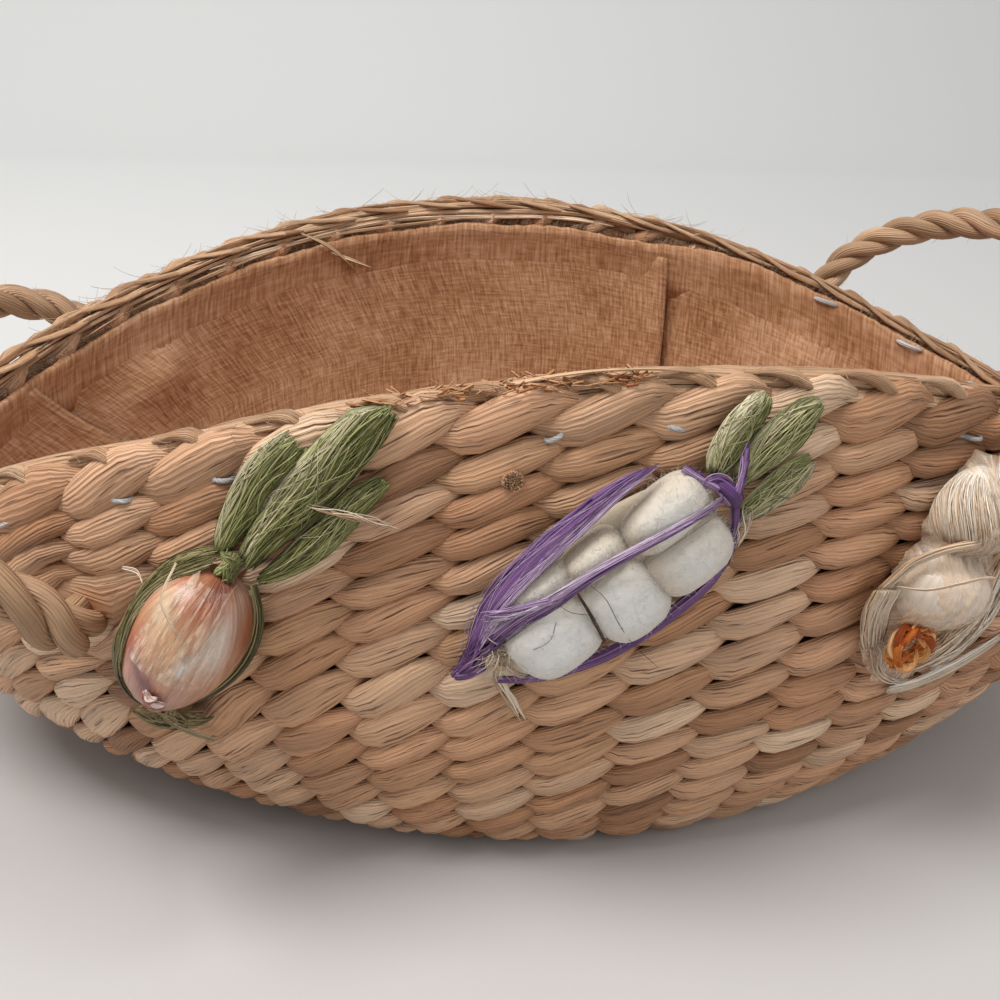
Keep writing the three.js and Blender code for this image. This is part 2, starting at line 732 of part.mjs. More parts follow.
// Pod: two columns of cloves with a strip of raffia between them and one down each side.
for (const clove of POD_CLOVES) {
  addPiece(`pod_clove_${clove.name}`, wallPiece(POD, egg({ ...clove, blunt: 0.35 })), COTTON);
}
for (const { name, route, width, thickness } of POD_STRIPS) {
  const shape = wallPiece(POD, strip(route, width, thickness), { square: true });
  addPiece(`pod_strip_${name}`, shape, PURPLE_RAFFIA);
}
addPiece('pod_knot', wallPiece(POD, egg({
  along: POD_KNOT.along,
  across: POD_KNOT.across,
  length: POD_KNOT.diameter,
  width: POD_KNOT.diameter,
  height: POD_KNOT.height,
  blunt: 0.5,
})), PURPLE_RAFFIA);
addPiece('pod_tail', wallPiece(POD, [
  [POD_TAIL.along, POD_TAIL.across, 0.28 * POD_TAIL.width, POD_TAIL.thickness],
  [
    POD_TAIL.along - 0.42 * POD_TAIL.length,
    POD_TAIL.across,
    0.44 * POD_TAIL.width,
    POD_TAIL.thickness,
  ],
  [
    POD_TAIL.along - POD_TAIL.length,
    POD_TAIL.across - 0.3 * POD_TAIL.width,
    POD_TAIL.width / 2,
    POD_TAIL.thickness / 2,
  ],
]), PURPLE_RAFFIA);
for (const one of POD_LEAVES) {
  const tie = [POD_KNOT.along, POD_KNOT.across];
  addPiece(`pod_leaf_${one.name}`, wallPiece(POD, leaf(one, tie)), LEAF);
}

// Garlic: the straw loop runs down one side and the band crosses below.
const bulbAlong = GARLIC_SPACING / 2;
for (const [place, sign] of [['upper', 1], ['lower', -1]]) {
  addPiece(`garlic_bulb_${place}`, wallPiece(GARLIC, egg({
    along: sign * bulbAlong,
    length: GARLIC_LENGTH,
    width: GARLIC_WIDTH,
    height: GARLIC_HEIGHT,
    blunt: 0.4,
  })), COTTON);
}
const garlicEnd = bulbAlong + GARLIC_LENGTH / 2;
addPiece('garlic_neck', wallPiece(GARLIC, [
  [garlicEnd + GAP, GARLIC_NECK.across, 0.5 * GARLIC_NECK.width, GARLIC_NECK.height],
  [
    garlicEnd + 0.25 * GARLIC_NECK.length,
    GARLIC_NECK.across,
    0.47 * GARLIC_NECK.width,
    0.9 * GARLIC_NECK.height,
  ],
  [
    garlicEnd + 0.67 * GARLIC_NECK.length,
    GARLIC_NECK.across - 0.2 * GARLIC_NECK.length,
    0.39 * GARLIC_NECK.width,
    0.75 * GARLIC_NECK.height,
  ],
  [
    garlicEnd + GARLIC_NECK.length,
    GARLIC_NECK.across - 0.38 * GARLIC_NECK.length,
    0.33 * GARLIC_NECK.width,
    0.5 * GARLIC_NECK.height,
  ],
]), STRAW);
addPiece('garlic_root_ball', wallPiece(GARLIC, egg({
  along: -garlicEnd - GAP - ROOT_BALL.length / 2,
  across: ROOT_BALL.across,
  length: ROOT_BALL.length,
  width: ROOT_BALL.width,
  height: ROOT_BALL.height,
  blunt: 0.4,
})), ROOTS);
addPiece('garlic_side_loop', wallPiece(
  GARLIC,
  strip(STRAW_LOOP_ROUTE, RAFFIA_WIDTH, RAFFIA_THICKNESS),
  { square: true },
), STRAW);
addPiece('garlic_band', wallPiece(
  GARLIC,
  strip(STRAW_BAND.route, STRAW_BAND.width, STRAW_BAND.thickness),
  { square: true },
), STRAW);

export default basket;
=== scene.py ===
# %% [markdown]
# A lined storage basket, twined from dried water hyacinth over upright stakes, with rope handles
# and three fibre vegetables sewn on its front. The CAD model gives every place and size; this
# script gives the basket its fibres, cloth, rope and thread, one kind of work at a time.

# %% Load the frame
import math

import bpy
import numpy as np
from mathutils import Matrix, Vector


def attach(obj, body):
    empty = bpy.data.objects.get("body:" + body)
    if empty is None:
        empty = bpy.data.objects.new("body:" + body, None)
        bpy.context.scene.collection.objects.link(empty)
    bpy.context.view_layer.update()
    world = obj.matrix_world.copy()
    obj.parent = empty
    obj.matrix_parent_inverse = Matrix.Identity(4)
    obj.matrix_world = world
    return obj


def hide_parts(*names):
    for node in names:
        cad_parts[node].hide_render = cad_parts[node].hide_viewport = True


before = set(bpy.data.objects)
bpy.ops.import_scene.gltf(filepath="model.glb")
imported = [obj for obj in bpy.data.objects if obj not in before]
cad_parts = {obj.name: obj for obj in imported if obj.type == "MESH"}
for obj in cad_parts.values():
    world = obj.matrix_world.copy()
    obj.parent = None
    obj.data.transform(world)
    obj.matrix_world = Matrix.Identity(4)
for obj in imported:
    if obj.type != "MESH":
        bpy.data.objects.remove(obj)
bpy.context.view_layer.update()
MM = 0.001

# %% [markdown]
# The camera stands where the photograph was taken from: left of the middle, in front and a little
# above, with a lens of about 39 mm. Its place and its two side directions are written out, and
# the third follows from them.

# %% Camera
CAMERA_PLACE = Vector((-0.0905, -0.3198, 0.2075))
CAMERA_RIGHT = Vector((0.97767, -0.20532, 0.04470))
CAMERA_UP = Vector((0.04376, 0.40704, 0.91236))
LENS_MM = 38.8


def add_camera():
    lens = bpy.data.cameras.new("camera")
    lens.sensor_width = 36
    lens.lens = LENS_MM
    lens.clip_start = 0.01
    camera = bpy.data.objects.new("camera", lens)
    bpy.context.collection.objects.link(camera)
    back = CAMERA_RIGHT.cross(CAMERA_UP).normalized()
    turn = Matrix((CAMERA_RIGHT, CAMERA_UP, back)).transposed().to_4x4()
    camera.matrix_world = Matrix.Translation(CAMERA_PLACE) @ turn
    bpy.context.scene.camera = camera
    print("camera:", tuple(round(v, 3) for v in CAMERA_PLACE))


add_camera()

# %% [markdown]
# The wall is one formula: a flat oval base that flares into a longer oval rim, low at the ends
# and high at the sides. Every strand, stake and cloth is placed by three numbers: the stake that
# it is at, counted from the right end, its share up the wall's slant, and its depth in from the
# outside. The formula is the one that the CAD model was made with, so both fit each other.

# %% Wall
BASE_HALF_LENGTH = 102.9 * MM
BASE_HALF_WIDTH = 94.7 * MM
RIM_HALF_LENGTH = 206 * MM
RIM_HALF_WIDTH = 120 * MM
END_HEIGHT = 82.6 * MM
SIDE_HEIGHT = 141.8 * MM
WALL_POWER = 2 / 2.2
STAKES = 48


def outline_table(half_length, half_width):
    """Share of an oval's outline against the angle, so that stakes stand evenly along it."""
    angle = np.linspace(0, 2 * np.pi, 721)
    steps = np.hypot(np.diff(half_length * np.cos(angle)), np.diff(half_width * np.sin(angle)))
    arc = np.concatenate([[0], np.cumsum(steps)])
    return arc / arc[-1], angle


BASE_TABLE = outline_table(BASE_HALF_LENGTH, BASE_HALF_WIDTH)
RIM_TABLE = outline_table(RIM_HALF_LENGTH, RIM_HALF_WIDTH)


def wall_point(angle, rise, depth):
    """The wall's formula: rise goes from 0 at the base to 1 at the rim, depth is inwards."""
    turn = np.clip(rise, 0, 1) * np.pi / 2
    flare = np.sin(turn) ** WALL_POWER
    lift = 1 - np.cos(turn) ** WALL_POWER
    top = END_HEIGHT + (SIDE_HEIGHT - END_HEIGHT) * np.sin(angle) ** 2
    half_length = BASE_HALF_LENGTH + (RIM_HALF_LENGTH - BASE_HALF_LENGTH) * flare - depth
    half_width = BASE_HALF_WIDTH + (RIM_HALF_WIDTH - BASE_HALF_WIDTH) * flare - depth
    height = depth + (top - depth) * lift
    return np.stack([half_length * np.cos(angle), half_width * np.sin(angle), height], axis=-1)


def run_along(line):
    """The length run from a line's start to each of its points."""
    steps = np.linalg.norm(np.diff(line, axis=0), axis=1)
    return np.concatenate([[0], np.cumsum(steps)])


# The rise at an even share of the slant, for a fan of angles; in between it is interpolated.
SHARES = np.linspace(0, 1, 121)
FAN = np.linspace(0, 2 * np.pi, 145)


def rise_table():
    rises = []
    for angle in FAN:
        arc = run_along(wall_point(angle, SHARES, 0))
        rises.append(np.interp(SHARES, arc / arc[-1], SHARES))
    return np.array(rises)


RISES = rise_table()
SLANT = 148.9 * MM


def rise_at(angle, share):
    """The rise at a share of the slant, read from the table between its four nearest entries."""
    row = np.mod(angle, 2 * np.pi) / FAN[1]
    column = np.clip(share, 0, 1) / SHARES[1]
    i = np.minimum(row.astype(int), len(FAN) - 2)
    j = np.minimum(column.astype(int), len(SHARES) - 2)
    a, b = row - i, column - j
    low = RISES[i, j] * (1 - b) + RISES[i, j + 1] * b
    high = RISES[i + 1, j] * (1 - b) + RISES[i + 1, j + 1] * b
    return low * (1 - a) + high * a


def woven(stake, up, depth):
    """Point of the wall by stake, share up the slant and depth, for numbers or arrays of them."""
    stake, up, depth = np.broadcast_arrays(
        np.asarray(stake, float), np.asarray(up, float), np.asarray(depth, float)
    )
    share = stake / STAKES
    whole = np.floor(share)
    low = 2 * np.pi * whole + np.interp(share - whole, *BASE_TABLE)
    high = 2 * np.pi * whole + np.interp(share - whole, *RIM_TABLE)
    angle = (1 - up) * low + up * high
    return wall_point(angle, rise_at(angle, up), depth)


def unit(vectors):
    return vectors / np.linalg.norm(vectors, axis=-1, keepdims=True)


def wall_frame(stake, up, depth):
    """The wall's directions there: along the row, up the slant and outwards."""
    along = unit(woven(stake + 0.05, up, depth) - woven(stake - 0.05, up, depth))
    upward = woven(stake, up + 0.01, depth) - woven(stake, up - 0.01, depth)
    outward = unit(np.cross(along, upward))
    return along, np.cross(outward, along), outward


# %% [markdown]
# The wall holds sixteen rows and a thin border. The rows just above the belly were woven from
# thicker stalks, so a smooth hump of weights makes them taller. The bottom edge of each row is a
# share of the slant.

# %% Rows
ROWS = 16
THICK_ROW = 9.1
THICK_SPREAD = 1.25
THICK_EXTRA = 0.4
BORDER_HEIGHT = 4.5 * MM


def row_edges():
    rows = np.arange(1, ROWS + 1)
    weights = 1 + THICK_EXTRA * np.exp(-(((rows - THICK_ROW) / THICK_SPREAD) ** 2))
    shares = weights / weights.sum() * (1 - BORDER_HEIGHT / SLANT)
    return np.concatenate([[0], np.cumsum(shares)])


ROW_EDGES = row_edges()
print("row heights, mm:", np.round(np.diff(ROW_EDGES) * SLANT / MM, 1).tolist())

# %% [markdown]
# Four small helpers serve the whole script. One turns a hex colour into the linear numbers that
# a shader wants. One adds a shader node with its settings and links. One starts a material and
# gives back its principled shader, and one links a finished pattern to that shader. With them
# each material below reads as a short recipe.

# %% Helpers for materials


def linear(hex_colour):
    """An sRGB hex colour as linear red, green, blue and a full alpha."""
    parts = [int(hex_colour[i : i + 2], 16) / 255 for i in (0, 2, 4)]
    return tuple(p / 12.92 if p <= 0.04045 else ((p + 0.055) / 1.055) ** 2.4 for p in parts) + (1,)


def add_node(material, kind, inputs=None, stops=None, **settings):
    """A node with its settings; an input is a value, or the socket that is linked to it."""
    node = material.node_tree.nodes.new(kind)
    for name, value in settings.items():
        setattr(node, name, value)
    for name, value in (inputs or {}).items():
        if isinstance(value, bpy.types.NodeSocket):
            material.node_tree.links.new(value, node.inputs[name])
        else:
            node.inputs[name].default_value = value
    if stops:
        ramp = node.color_ramp.elements
        while len(ramp) < len(stops):
            ramp.new(0.5)
        for element, (place, colour) in zip(ramp, stops):
            element.position = place
            element.color = linear(colour)
    return node


def new_material(name, **sockets):
    material = bpy.data.materials.new(name)
    material.use_nodes = True
    shader = material.node_tree.nodes["Principled BSDF"]
    for socket, value in sockets.items():
        shader.inputs[socket.replace("_", " ")].default_value = value
    return material, shader


def connect(material, source, shader, socket):
    material.node_tree.links.new(source, shader.inputs[socket])


# %% [markdown]
# The creases and the valleys between the ribs are painted darker, as painted shade.
# Dried water hyacinth is a spongy stalk that is pressed flat. Its skin is satin, pale brown to
# tan, with fine lengthwise creases that run together where the stalk is pinched between stakes.
# The pattern follows the strand: U runs round the stalk and V along it, both in millimetres.
# Each lobe that shows has a tint number of its own, so no two neighbours match.

# %% Water hyacinth


def hyacinth(name, colours, crease_mm, dark="5a341c", rough=0.62, crease_shade=0.85):
    """Creased plant skin: a colour for each strand, broad ribs and fine creases whose low parts are painted
    dark as shade, and streaks.
    """
    material, shader = new_material(name, Roughness=rough, Specular_IOR_Level=0.35)
    grain = add_node(material, "ShaderNodeUVMap", uv_map="grain").outputs["UV"]
    tint = add_node(
        material, "ShaderNodeAttribute", attribute_name="tint", attribute_type="GEOMETRY"
    ).outputs["Fac"]
    lobe = add_node(
        material,
        "ShaderNodeValToRGB",
        {"Fac": tint},
        stops=[(i / (len(colours) - 1), c) for i, c in enumerate(colours)],
    ).outputs["Color"]
    fine = add_node(
        material,
        "ShaderNodeMapping",
        {"Vector": grain, "Scale": (1 / crease_mm, 0.028 / crease_mm, 1)},
    ).outputs["Vector"]
    creases = add_node(
        material,
        "ShaderNodeTexNoise",
        {"Vector": fine, "Scale": 1.0, "Detail": 3.0, "Roughness": 0.6, "Distortion": 0.25},
    ).outputs["Fac"]
    ribbed = add_node(
        material,
        "ShaderNodeMapping",
        {"Vector": grain, "Scale": (0.17 / crease_mm, 0.006 / crease_mm, 1)},
    ).outputs["Vector"]
    ribs = add_node(
        material,
        "ShaderNodeTexWave",
        {"Vector": ribbed, "Scale": 1.0, "Distortion": 3.5, "Detail": 2.0, "Detail Scale": 2.0},
        bands_direction="X",
    ).outputs["Fac"]
    # Painted shade: the valleys between the ribs are darkened, in step with the bump.
    valley_shade = add_node(
        material,
        "ShaderNodeMapRange",
        {"Value": ribs, "From Min": 0.0, "From Max": 0.16, "To Min": 0.34 * crease_shade, "To Max": 0.0},
    ).outputs["Result"]
    broad = add_node(
        material, "ShaderNodeMapping", {"Vector": grain, "Scale": (0.28, 0.02, 1)}
    ).outputs["Vector"]
    streaks = add_node(
        material, "ShaderNodeTexNoise", {"Vector": broad, "Scale": 1.0, "Detail": 2.0}
    ).outputs["Fac"]
    shade = add_node(
        material,
        "ShaderNodeMapRange",
        {"Value": streaks, "From Min": 0.3, "From Max": 0.7, "To Min": 0.74, "To Max": 1.22},
    ).outputs["Result"]
    body = add_node(
        material,
        "ShaderNodeMix",
        {0: 1.0, 6: lobe, 7: shade},
        data_type="RGBA",
        blend_type="MULTIPLY",
    ).outputs[2]
    # Painted shade: the fine creases, low in the bump, take the dark colour.
    crease_shade_lines = add_node(
        material,
        "ShaderNodeMapRange",
        {"Value": creases, "From Min": 0.35, "From Max": 0.42, "To Min": crease_shade, "To Max": 0.0},
    ).outputs["Result"]
    furrow_shade = add_node(
        material, "ShaderNodeMath", {0: crease_shade_lines, 1: valley_shade}, operation="MAXIMUM"
    ).outputs["Value"]
    skin = add_node(
        material,
        "ShaderNodeMix",
        {0: furrow_shade, 6: body, 7: linear(dark)},
        data_type="RGBA",
    ).outputs[2]
    height = add_node(
        material, "ShaderNodeMath", {0: ribs, 1: 0.4, 2: creases}, operation="MULTIPLY_ADD"
    ).outputs["Value"]
    relief = add_node(
        material, "ShaderNodeBump", {"Height": height, "Distance": 0.0006, "Strength": 0.8}
    ).outputs["Normal"]
    connect(material, skin, shader, "Base Color")
    connect(material, relief, shader, "Normal")
    return material


# The wall's weavers: satin stalk skin from tan to straw, with a tone of its own in every lobe.
WEAVER_SKIN = hyacinth(
    "dried_hyacinth_weaver",
    ["93694a", "b5845f", "c89a74", "d6a985", "c08c66", "e6c5a4", "b88560", "dab28e"],
    0.42,
    "4c2914",
    0.5,
)
# The border's stalks are thinner and more even in colour, so the rim reads as one cord.
BORDER_SKIN = hyacinth(
    "dried_hyacinth_border", ["a87a56", "c59a74", "d4ae8a", "b78c68"], 0.42, rough=0.5
)
# The stakes are painted darker and duller than the weavers, as painted shade in the gaps between the lobes,
# so these read as depth.
SHADED_STAKE_SKIN = hyacinth("dried_hyacinth_stake_shaded", ["7d5838", "936b46", "a17a52"], 0.5, "4a2c18")

# %% [markdown]
# Meshes that a formula has bent on to the wall become pieces here. One function gives a mesh its
# grain map and its tint and smooths it. Another gives it its material, hangs it on the body that
# it rides on and hides the CAD nodes that it stands for.

# %% Pieces


def deselect():
    for thing in list(bpy.context.selected_objects):
        thing.select_set(False)


def settle(obj, material, nodes=(), body="basket"):
    """Make an object a finished piece of the basket."""
    obj.data.materials.clear()
    obj.data.materials.append(material)
    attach(obj, body)
    if nodes:
        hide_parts(*nodes)


def mesh_piece(name, points, faces, grain=None, tint=None):
    """A mesh from points and faces, with a grain map per face corner and a tint per point."""
    mesh = bpy.data.meshes.new(name)
    faces = faces.tolist() if isinstance(faces, np.ndarray) else faces
    mesh.from_pydata(np.asarray(points).tolist(), [], faces)
    if grain is not None:
        layer = mesh.uv_layers.new(name="grain")
        layer.data.foreach_set("uv", np.asarray(grain, float).ravel())
    if tint is not None:
        layer = mesh.attributes.new("tint", "FLOAT", "POINT")
        layer.data.foreach_set("value", np.asarray(tint, float).ravel())
    mesh.validate()
    mesh.shade_smooth()
    obj = bpy.data.objects.new(name, mesh)
    bpy.context.collection.objects.link(obj)
    return obj


def gathered(points, faces, grain, tint):
    """Several meshes as one: each is a list with one entry for each mesh."""
    first = np.cumsum([0] + [len(p) for p in points])
    return (
        np.concatenate(points),
        np.concatenate([f + n for f, n in zip(faces, first)]),
        np.concatenate(grain),
        np.concatenate(tint),
    )


def take_apart(obj):
    """The points and faces of a modelled unit, which is then removed."""
    points = np.array([tuple(v.co) for v in obj.data.vertices])
    faces = [tuple(f.vertices) for f in obj.data.polygons]
    bpy.data.objects.remove(obj)
    return points, faces


# %% [markdown]
# Twining uses two weavers for each row. They cross between every two stakes, so each passes in
# front of one stake and behind the next. One turn of one weaver is modelled: a small ring is
# pulled out station by station and scaled, wide and plump in front of the stake, pinched at the
# crossings and thin behind. Its length is two stakes, its width and thickness are shares.

# %% One turn of a weaver
WEAVER_SIDES = 10
# Place along the turn from -1 to 1 (0 is in front of its stake), width share, thickness share.
WEAVER_STATIONS = [
    (-1.0, 0.6, 0.2),
    (-0.82, 0.48, 0.25),
    (-0.68, 0.42, 0.42),
    (-0.56, 0.56, 0.6),
    (-0.42, 0.8, 0.78),
    (-0.24, 1.0, 0.94),
    (0.0, 1.08, 1.0),
    (0.24, 1.0, 0.94),
    (0.42, 0.8, 0.78),
    (0.56, 0.56, 0.6),
    (0.68, 0.42, 0.42),
    (0.82, 0.48, 0.25),
    (1.0, 0.6, 0.2),
]


def weaver_turn():
    """One turn of a weaver along x, modelled from a ring."""
    deselect()
    x, width, thickness = WEAVER_STATIONS[0]
    bpy.ops.mesh.primitive_circle_add(
        vertices=WEAVER_SIDES, radius=1, location=(x, 0, 0), rotation=(0, math.pi / 2, 0)
    )
    turn = bpy.context.object
    bpy.ops.object.transform_apply(location=True, rotation=True, scale=True)
    bpy.ops.object.mode_set(mode="EDIT")
    bpy.ops.mesh.select_all(action="SELECT")
    bpy.ops.transform.resize(value=(1, width, thickness), center_override=(x, 0, 0))
    for place, wide, thick in WEAVER_STATIONS[1:]:
        bpy.ops.mesh.extrude_region_move(TRANSFORM_OT_translate={"value": (place - x, 0, 0)})
        bpy.ops.transform.resize(
            value=(1, wide / width, thick / thickness), center_override=(place, 0, 0)
        )
        x, width, thickness = place, wide, thick
    bpy.ops.object.mode_set(mode="OBJECT")
    points, faces = take_apart(turn)
    return points, np.array(faces)


TURN_POINTS, TURN_FACES = weaver_turn()
print("faces in one turn:", len(TURN_FACES))


def around(points):
    """Share round the section of each point, from 0 to 1, with the seam at the hidden back."""
    place, width, thickness = np.array(WEAVER_STATIONS).T
    wide = np.interp(points[:, 0], place, width)
    thick = np.interp(points[:, 0], place, thickness)
    angle = np.arctan2(points[:, 1] / wide, points[:, 2] / thick)
    return angle / (2 * np.pi) + 0.5


TURN_AROUND = around(TURN_POINTS)


def corner_grain(faces, round_share, along):
    """Share round and place along for each face corner, with no face torn at the seam."""
    u = round_share[faces]
    wraps = (u.max(axis=1) - u.min(axis=1)) > 0.5
    u = np.where(wraps[:, None] & (u < 0.5), u + 1, u)
    return u, along[faces]


# %% [markdown]
# A twined row is the same turn laid round the wall again and again: 24 turns for one weaver and
# 24 for the other, one stake further on. A weaver climbs a little in front and sinks behind,
# which makes the slanting lobes. Every lobe gets its own width, thickness, tilt and tint from a
# seeded draw. The four rope holes push the strands near them aside, as the rope does. The lowest
# strands are pressed flat where the basket stands.

# %% Twined rows
draw = np.random.default_rng(48)
CLIMB = 0.29
LOBE_HALF_THICKNESS = 2.55 * MM
STAKE_SPACING_MM = 21
TURN_GIRTH_MM = 19
# Behind the top row's stakes the weavers show over the cloth, so they keep their thickness.
OPEN_BACK_THICKNESS = 4.0
# Depth of a weaver's middle along its turn.
WEAVER_DEPTH_AT = [0, 0.24, 0.42, 0.56, 0.68, 0.82, 1]
WEAVER_DEPTH = np.array([2.4, 2.5, 2.9, 3.7, 4.9, 6.8, 7.75]) * MM
OPEN_WEAVER_DEPTH = np.array([2.4, 2.5, 2.9, 3.7, 4.9, 7.2, 8.6]) * MM
ROPE_ROW = 12
ROPE_GAP = 5.5
ROPE_RADIUS = 6.25 * MM
ROPE_HOLE_DEPTH = 2.7 * MM
HOLE_RADIUS = 1.12 * ROPE_RADIUS
ROPE_GAPS = [ROPE_GAP, STAKES / 2 - ROPE_GAP, STAKES / 2 + ROPE_GAP, STAKES - ROPE_GAP]
HOLE_REACH = 24 * MM


def rope_hole_centre(gap):
    return woven(gap, ROW_EDGES[ROPE_ROW], ROPE_HOLE_DEPTH)


def make_way(points):
    """Push points near a rope hole away from it, within the wall's surface."""
    moved = points.copy()
    for gap in ROPE_GAPS:
        centre = rope_hole_centre(gap)
        outward = wall_frame(gap, ROW_EDGES[ROPE_ROW], ROPE_HOLE_DEPTH)[2]
        away = moved - centre
        across = away - np.outer(away @ outward, outward)
        far = np.linalg.norm(across, axis=1)
        near = (far < HOLE_REACH) & (np.linalg.norm(away, axis=1) < 2 * HOLE_REACH)
        wanted = HOLE_RADIUS + far * (1 - HOLE_RADIUS / HOLE_REACH)
        push = np.where(near, wanted - far, 0)
        moved += across / np.maximum(far, 1e-6)[:, None] * push[:, None]
    return moved


def twined_row(
    low, high, turns=STAKES // 2, place=woven, open_back=False, spread=1.0, lean=CLIMB, gather=0.0
):
    """Both weavers of a row between two shares of the slant: points, faces, grain, tint."""
    pitch = STAKES / (2 * turns)
    parts = []
    middle = (low + high) / 2
    half_height = (high - low) * SLANT / 2
    count = len(TURN_POINTS)
    depth_keys = OPEN_WEAVER_DEPTH if open_back else WEAVER_DEPTH
    for weaver in (0, 1):
        for turn in range(turns):
            wide, thick = draw.uniform(0.93, 1.1), draw.uniform(0.88, 1.06)
            shift, roll = draw.normal(0, 0.03), draw.normal(0, 0.09)
            x, y, z = TURN_POINTS.T
            front = np.cos(np.pi * np.clip(x, -1, 1) / 2) ** 2
            stake = (2 * turn + weaver + x - gather * np.sin(np.pi * x) / np.pi) * pitch
            behind = OPEN_BACK_THICKNESS if open_back else 1.0
            back = 1 + (behind - 1) * np.clip((np.abs(x) - 0.56) / 0.3, 0, 1)
            climb = (lean * np.sin(np.pi * x) + shift * front) * (high - low)
            depth = np.interp(np.abs(x), WEAVER_DEPTH_AT, depth_keys) * spread
            across = y * half_height * (1 + (wide - 1) * front)
            out = z * LOBE_HALF_THICKNESS * spread * (1 + (thick - 1) * front) * back
            across, out = across + roll * front * out, out - roll * front * across
            centre = place(stake, middle + climb, depth)
            if place is woven:
                upward, outward = wall_frame(stake, middle, depth)[1:]
            else:
                upward, outward = flat_frame(stake)
            points = centre + across[:, None] * upward + out[:, None] * outward
            u, v = corner_grain(TURN_FACES, TURN_AROUND, x * STAKE_SPACING_MM)
            skew = draw.normal(0, 0.004)
            round_mm = u * TURN_GIRTH_MM + v * skew * TURN_GIRTH_MM
            grain = np.stack([round_mm, v + draw.uniform(0, 900)], axis=-1)
            parts.append((points, TURN_FACES, grain, np.full(count, draw.uniform(0, 1))))
    return gathered(*zip(*parts))


def weave_wall():
    for row in range(1, ROWS + 1):
        low, high = ROW_EDGES[row - 1], ROW_EDGES[row]
        if row == ROWS:
            high += 0.5 * BORDER_HEIGHT / SLANT
        points, faces, grain, tint = twined_row(low, high, open_back=row == ROWS)
        points = make_way(points)
        points[..., 2] = np.maximum(points[..., 2], 0)
        obj = mesh_piece(f"twined_row_{row:02d}", points, faces, grain, tint)
        settle(obj, WEAVER_SKIN, [f"course_{row:02d}"])
    print("twined rows:", ROWS, "faces in a row:", len(faces))


def flat_frame(stake):
    """Directions on the flat base: away from the middle, and down."""
    angle = 2 * np.pi * np.asarray(stake) / STAKES
    away = np.stack([np.cos(angle), np.sin(angle), np.zeros_like(angle)], axis=-1)
    return away, np.tile([0.0, 0.0, -1.0], (len(angle), 1))


weave_wall()

# %% [markdown]
# The base is twined as the wall is, in flat rings round the crossed stakes. Near the middle the
# stakes are taken together in twos and fours, so the inner rings have fewer turns.

# %% Base mat
BASE_RING_HEIGHT = 8.6 * MM
BASE_RINGS = 11
BASE_FLATNESS = 0.72


def weave_base():
    parts = []
    for ring in range(BASE_RINGS):
        outer = BASE_HALF_WIDTH - ring * BASE_RING_HEIGHT - 0.4 * MM

        def place(stake, up, depth, outer=outer):
            angle = 2 * np.pi * np.asarray(stake) / STAKES
            reach = outer + (up - 1) * SLANT
            stretch = 1 + (BASE_HALF_LENGTH / BASE_HALF_WIDTH - 1) * outer / BASE_HALF_WIDTH
            return np.stack([reach * stretch * np.cos(angle), reach * np.sin(angle), depth], axis=-1)

        share = BASE_RING_HEIGHT / SLANT
        turns = 24 if ring < 5 else (12 if ring < 8 else 6)
        parts.append(twined_row(1 - share, 1, turns, place, spread=BASE_FLATNESS))
    points, faces, grain, tint = gathered(*zip(*parts))
    points[:, 2] = np.maximum(points[:, 2], 0)
    obj = mesh_piece("base_twining", points, faces, grain, tint)
    settle(obj, WEAVER_SKIN, ["base_mat"])
    print("base rings:", BASE_RINGS)


weave_base()

# %% [markdown]
# Everything long and thin from here on, from the stakes to the finest straw, is a strand: an oval
# ring carried along a line, flat side outwards, narrowed and turned on the way. One function
# makes many at once, with closed ends. A second draws an even, smooth line through a few points.

# %% Strands


def curve(points, count):
    """An even line of count points through the given ones, by centripetal Catmull-Rom."""
    p = np.asarray(points, float)
    p = np.concatenate([[2 * p[0] - p[1]], p, [2 * p[-1] - p[-2]]])
    gap = np.linalg.norm(np.diff(p, axis=0), axis=1) ** 0.5
    t = np.linspace(0, 1, 25)[:, None]
    line = []
    for i in range(1, len(p) - 2):
        a, b, c = gap[i - 1], gap[i], gap[i + 1]
        leave = (p[i] - p[i - 1]) / a - (p[i + 1] - p[i - 1]) / (a + b) + (p[i + 1] - p[i]) / b
        reach = (p[i + 1] - p[i]) / b - (p[i + 2] - p[i]) / (b + c) + (p[i + 2] - p[i + 1]) / c
        leave, reach, step = leave * b, reach * b, p[i + 1] - p[i]
        line.append(
            p[i] + leave * t + (3 * step - 2 * leave - reach) * t**2 + (leave + reach - 2 * step) * t**3
        )
    line = np.concatenate(line)
    run = run_along(line)
    wanted = np.linspace(0, run[-1], count)
    return np.stack([np.interp(wanted, run, column) for column in line.T], axis=-1)


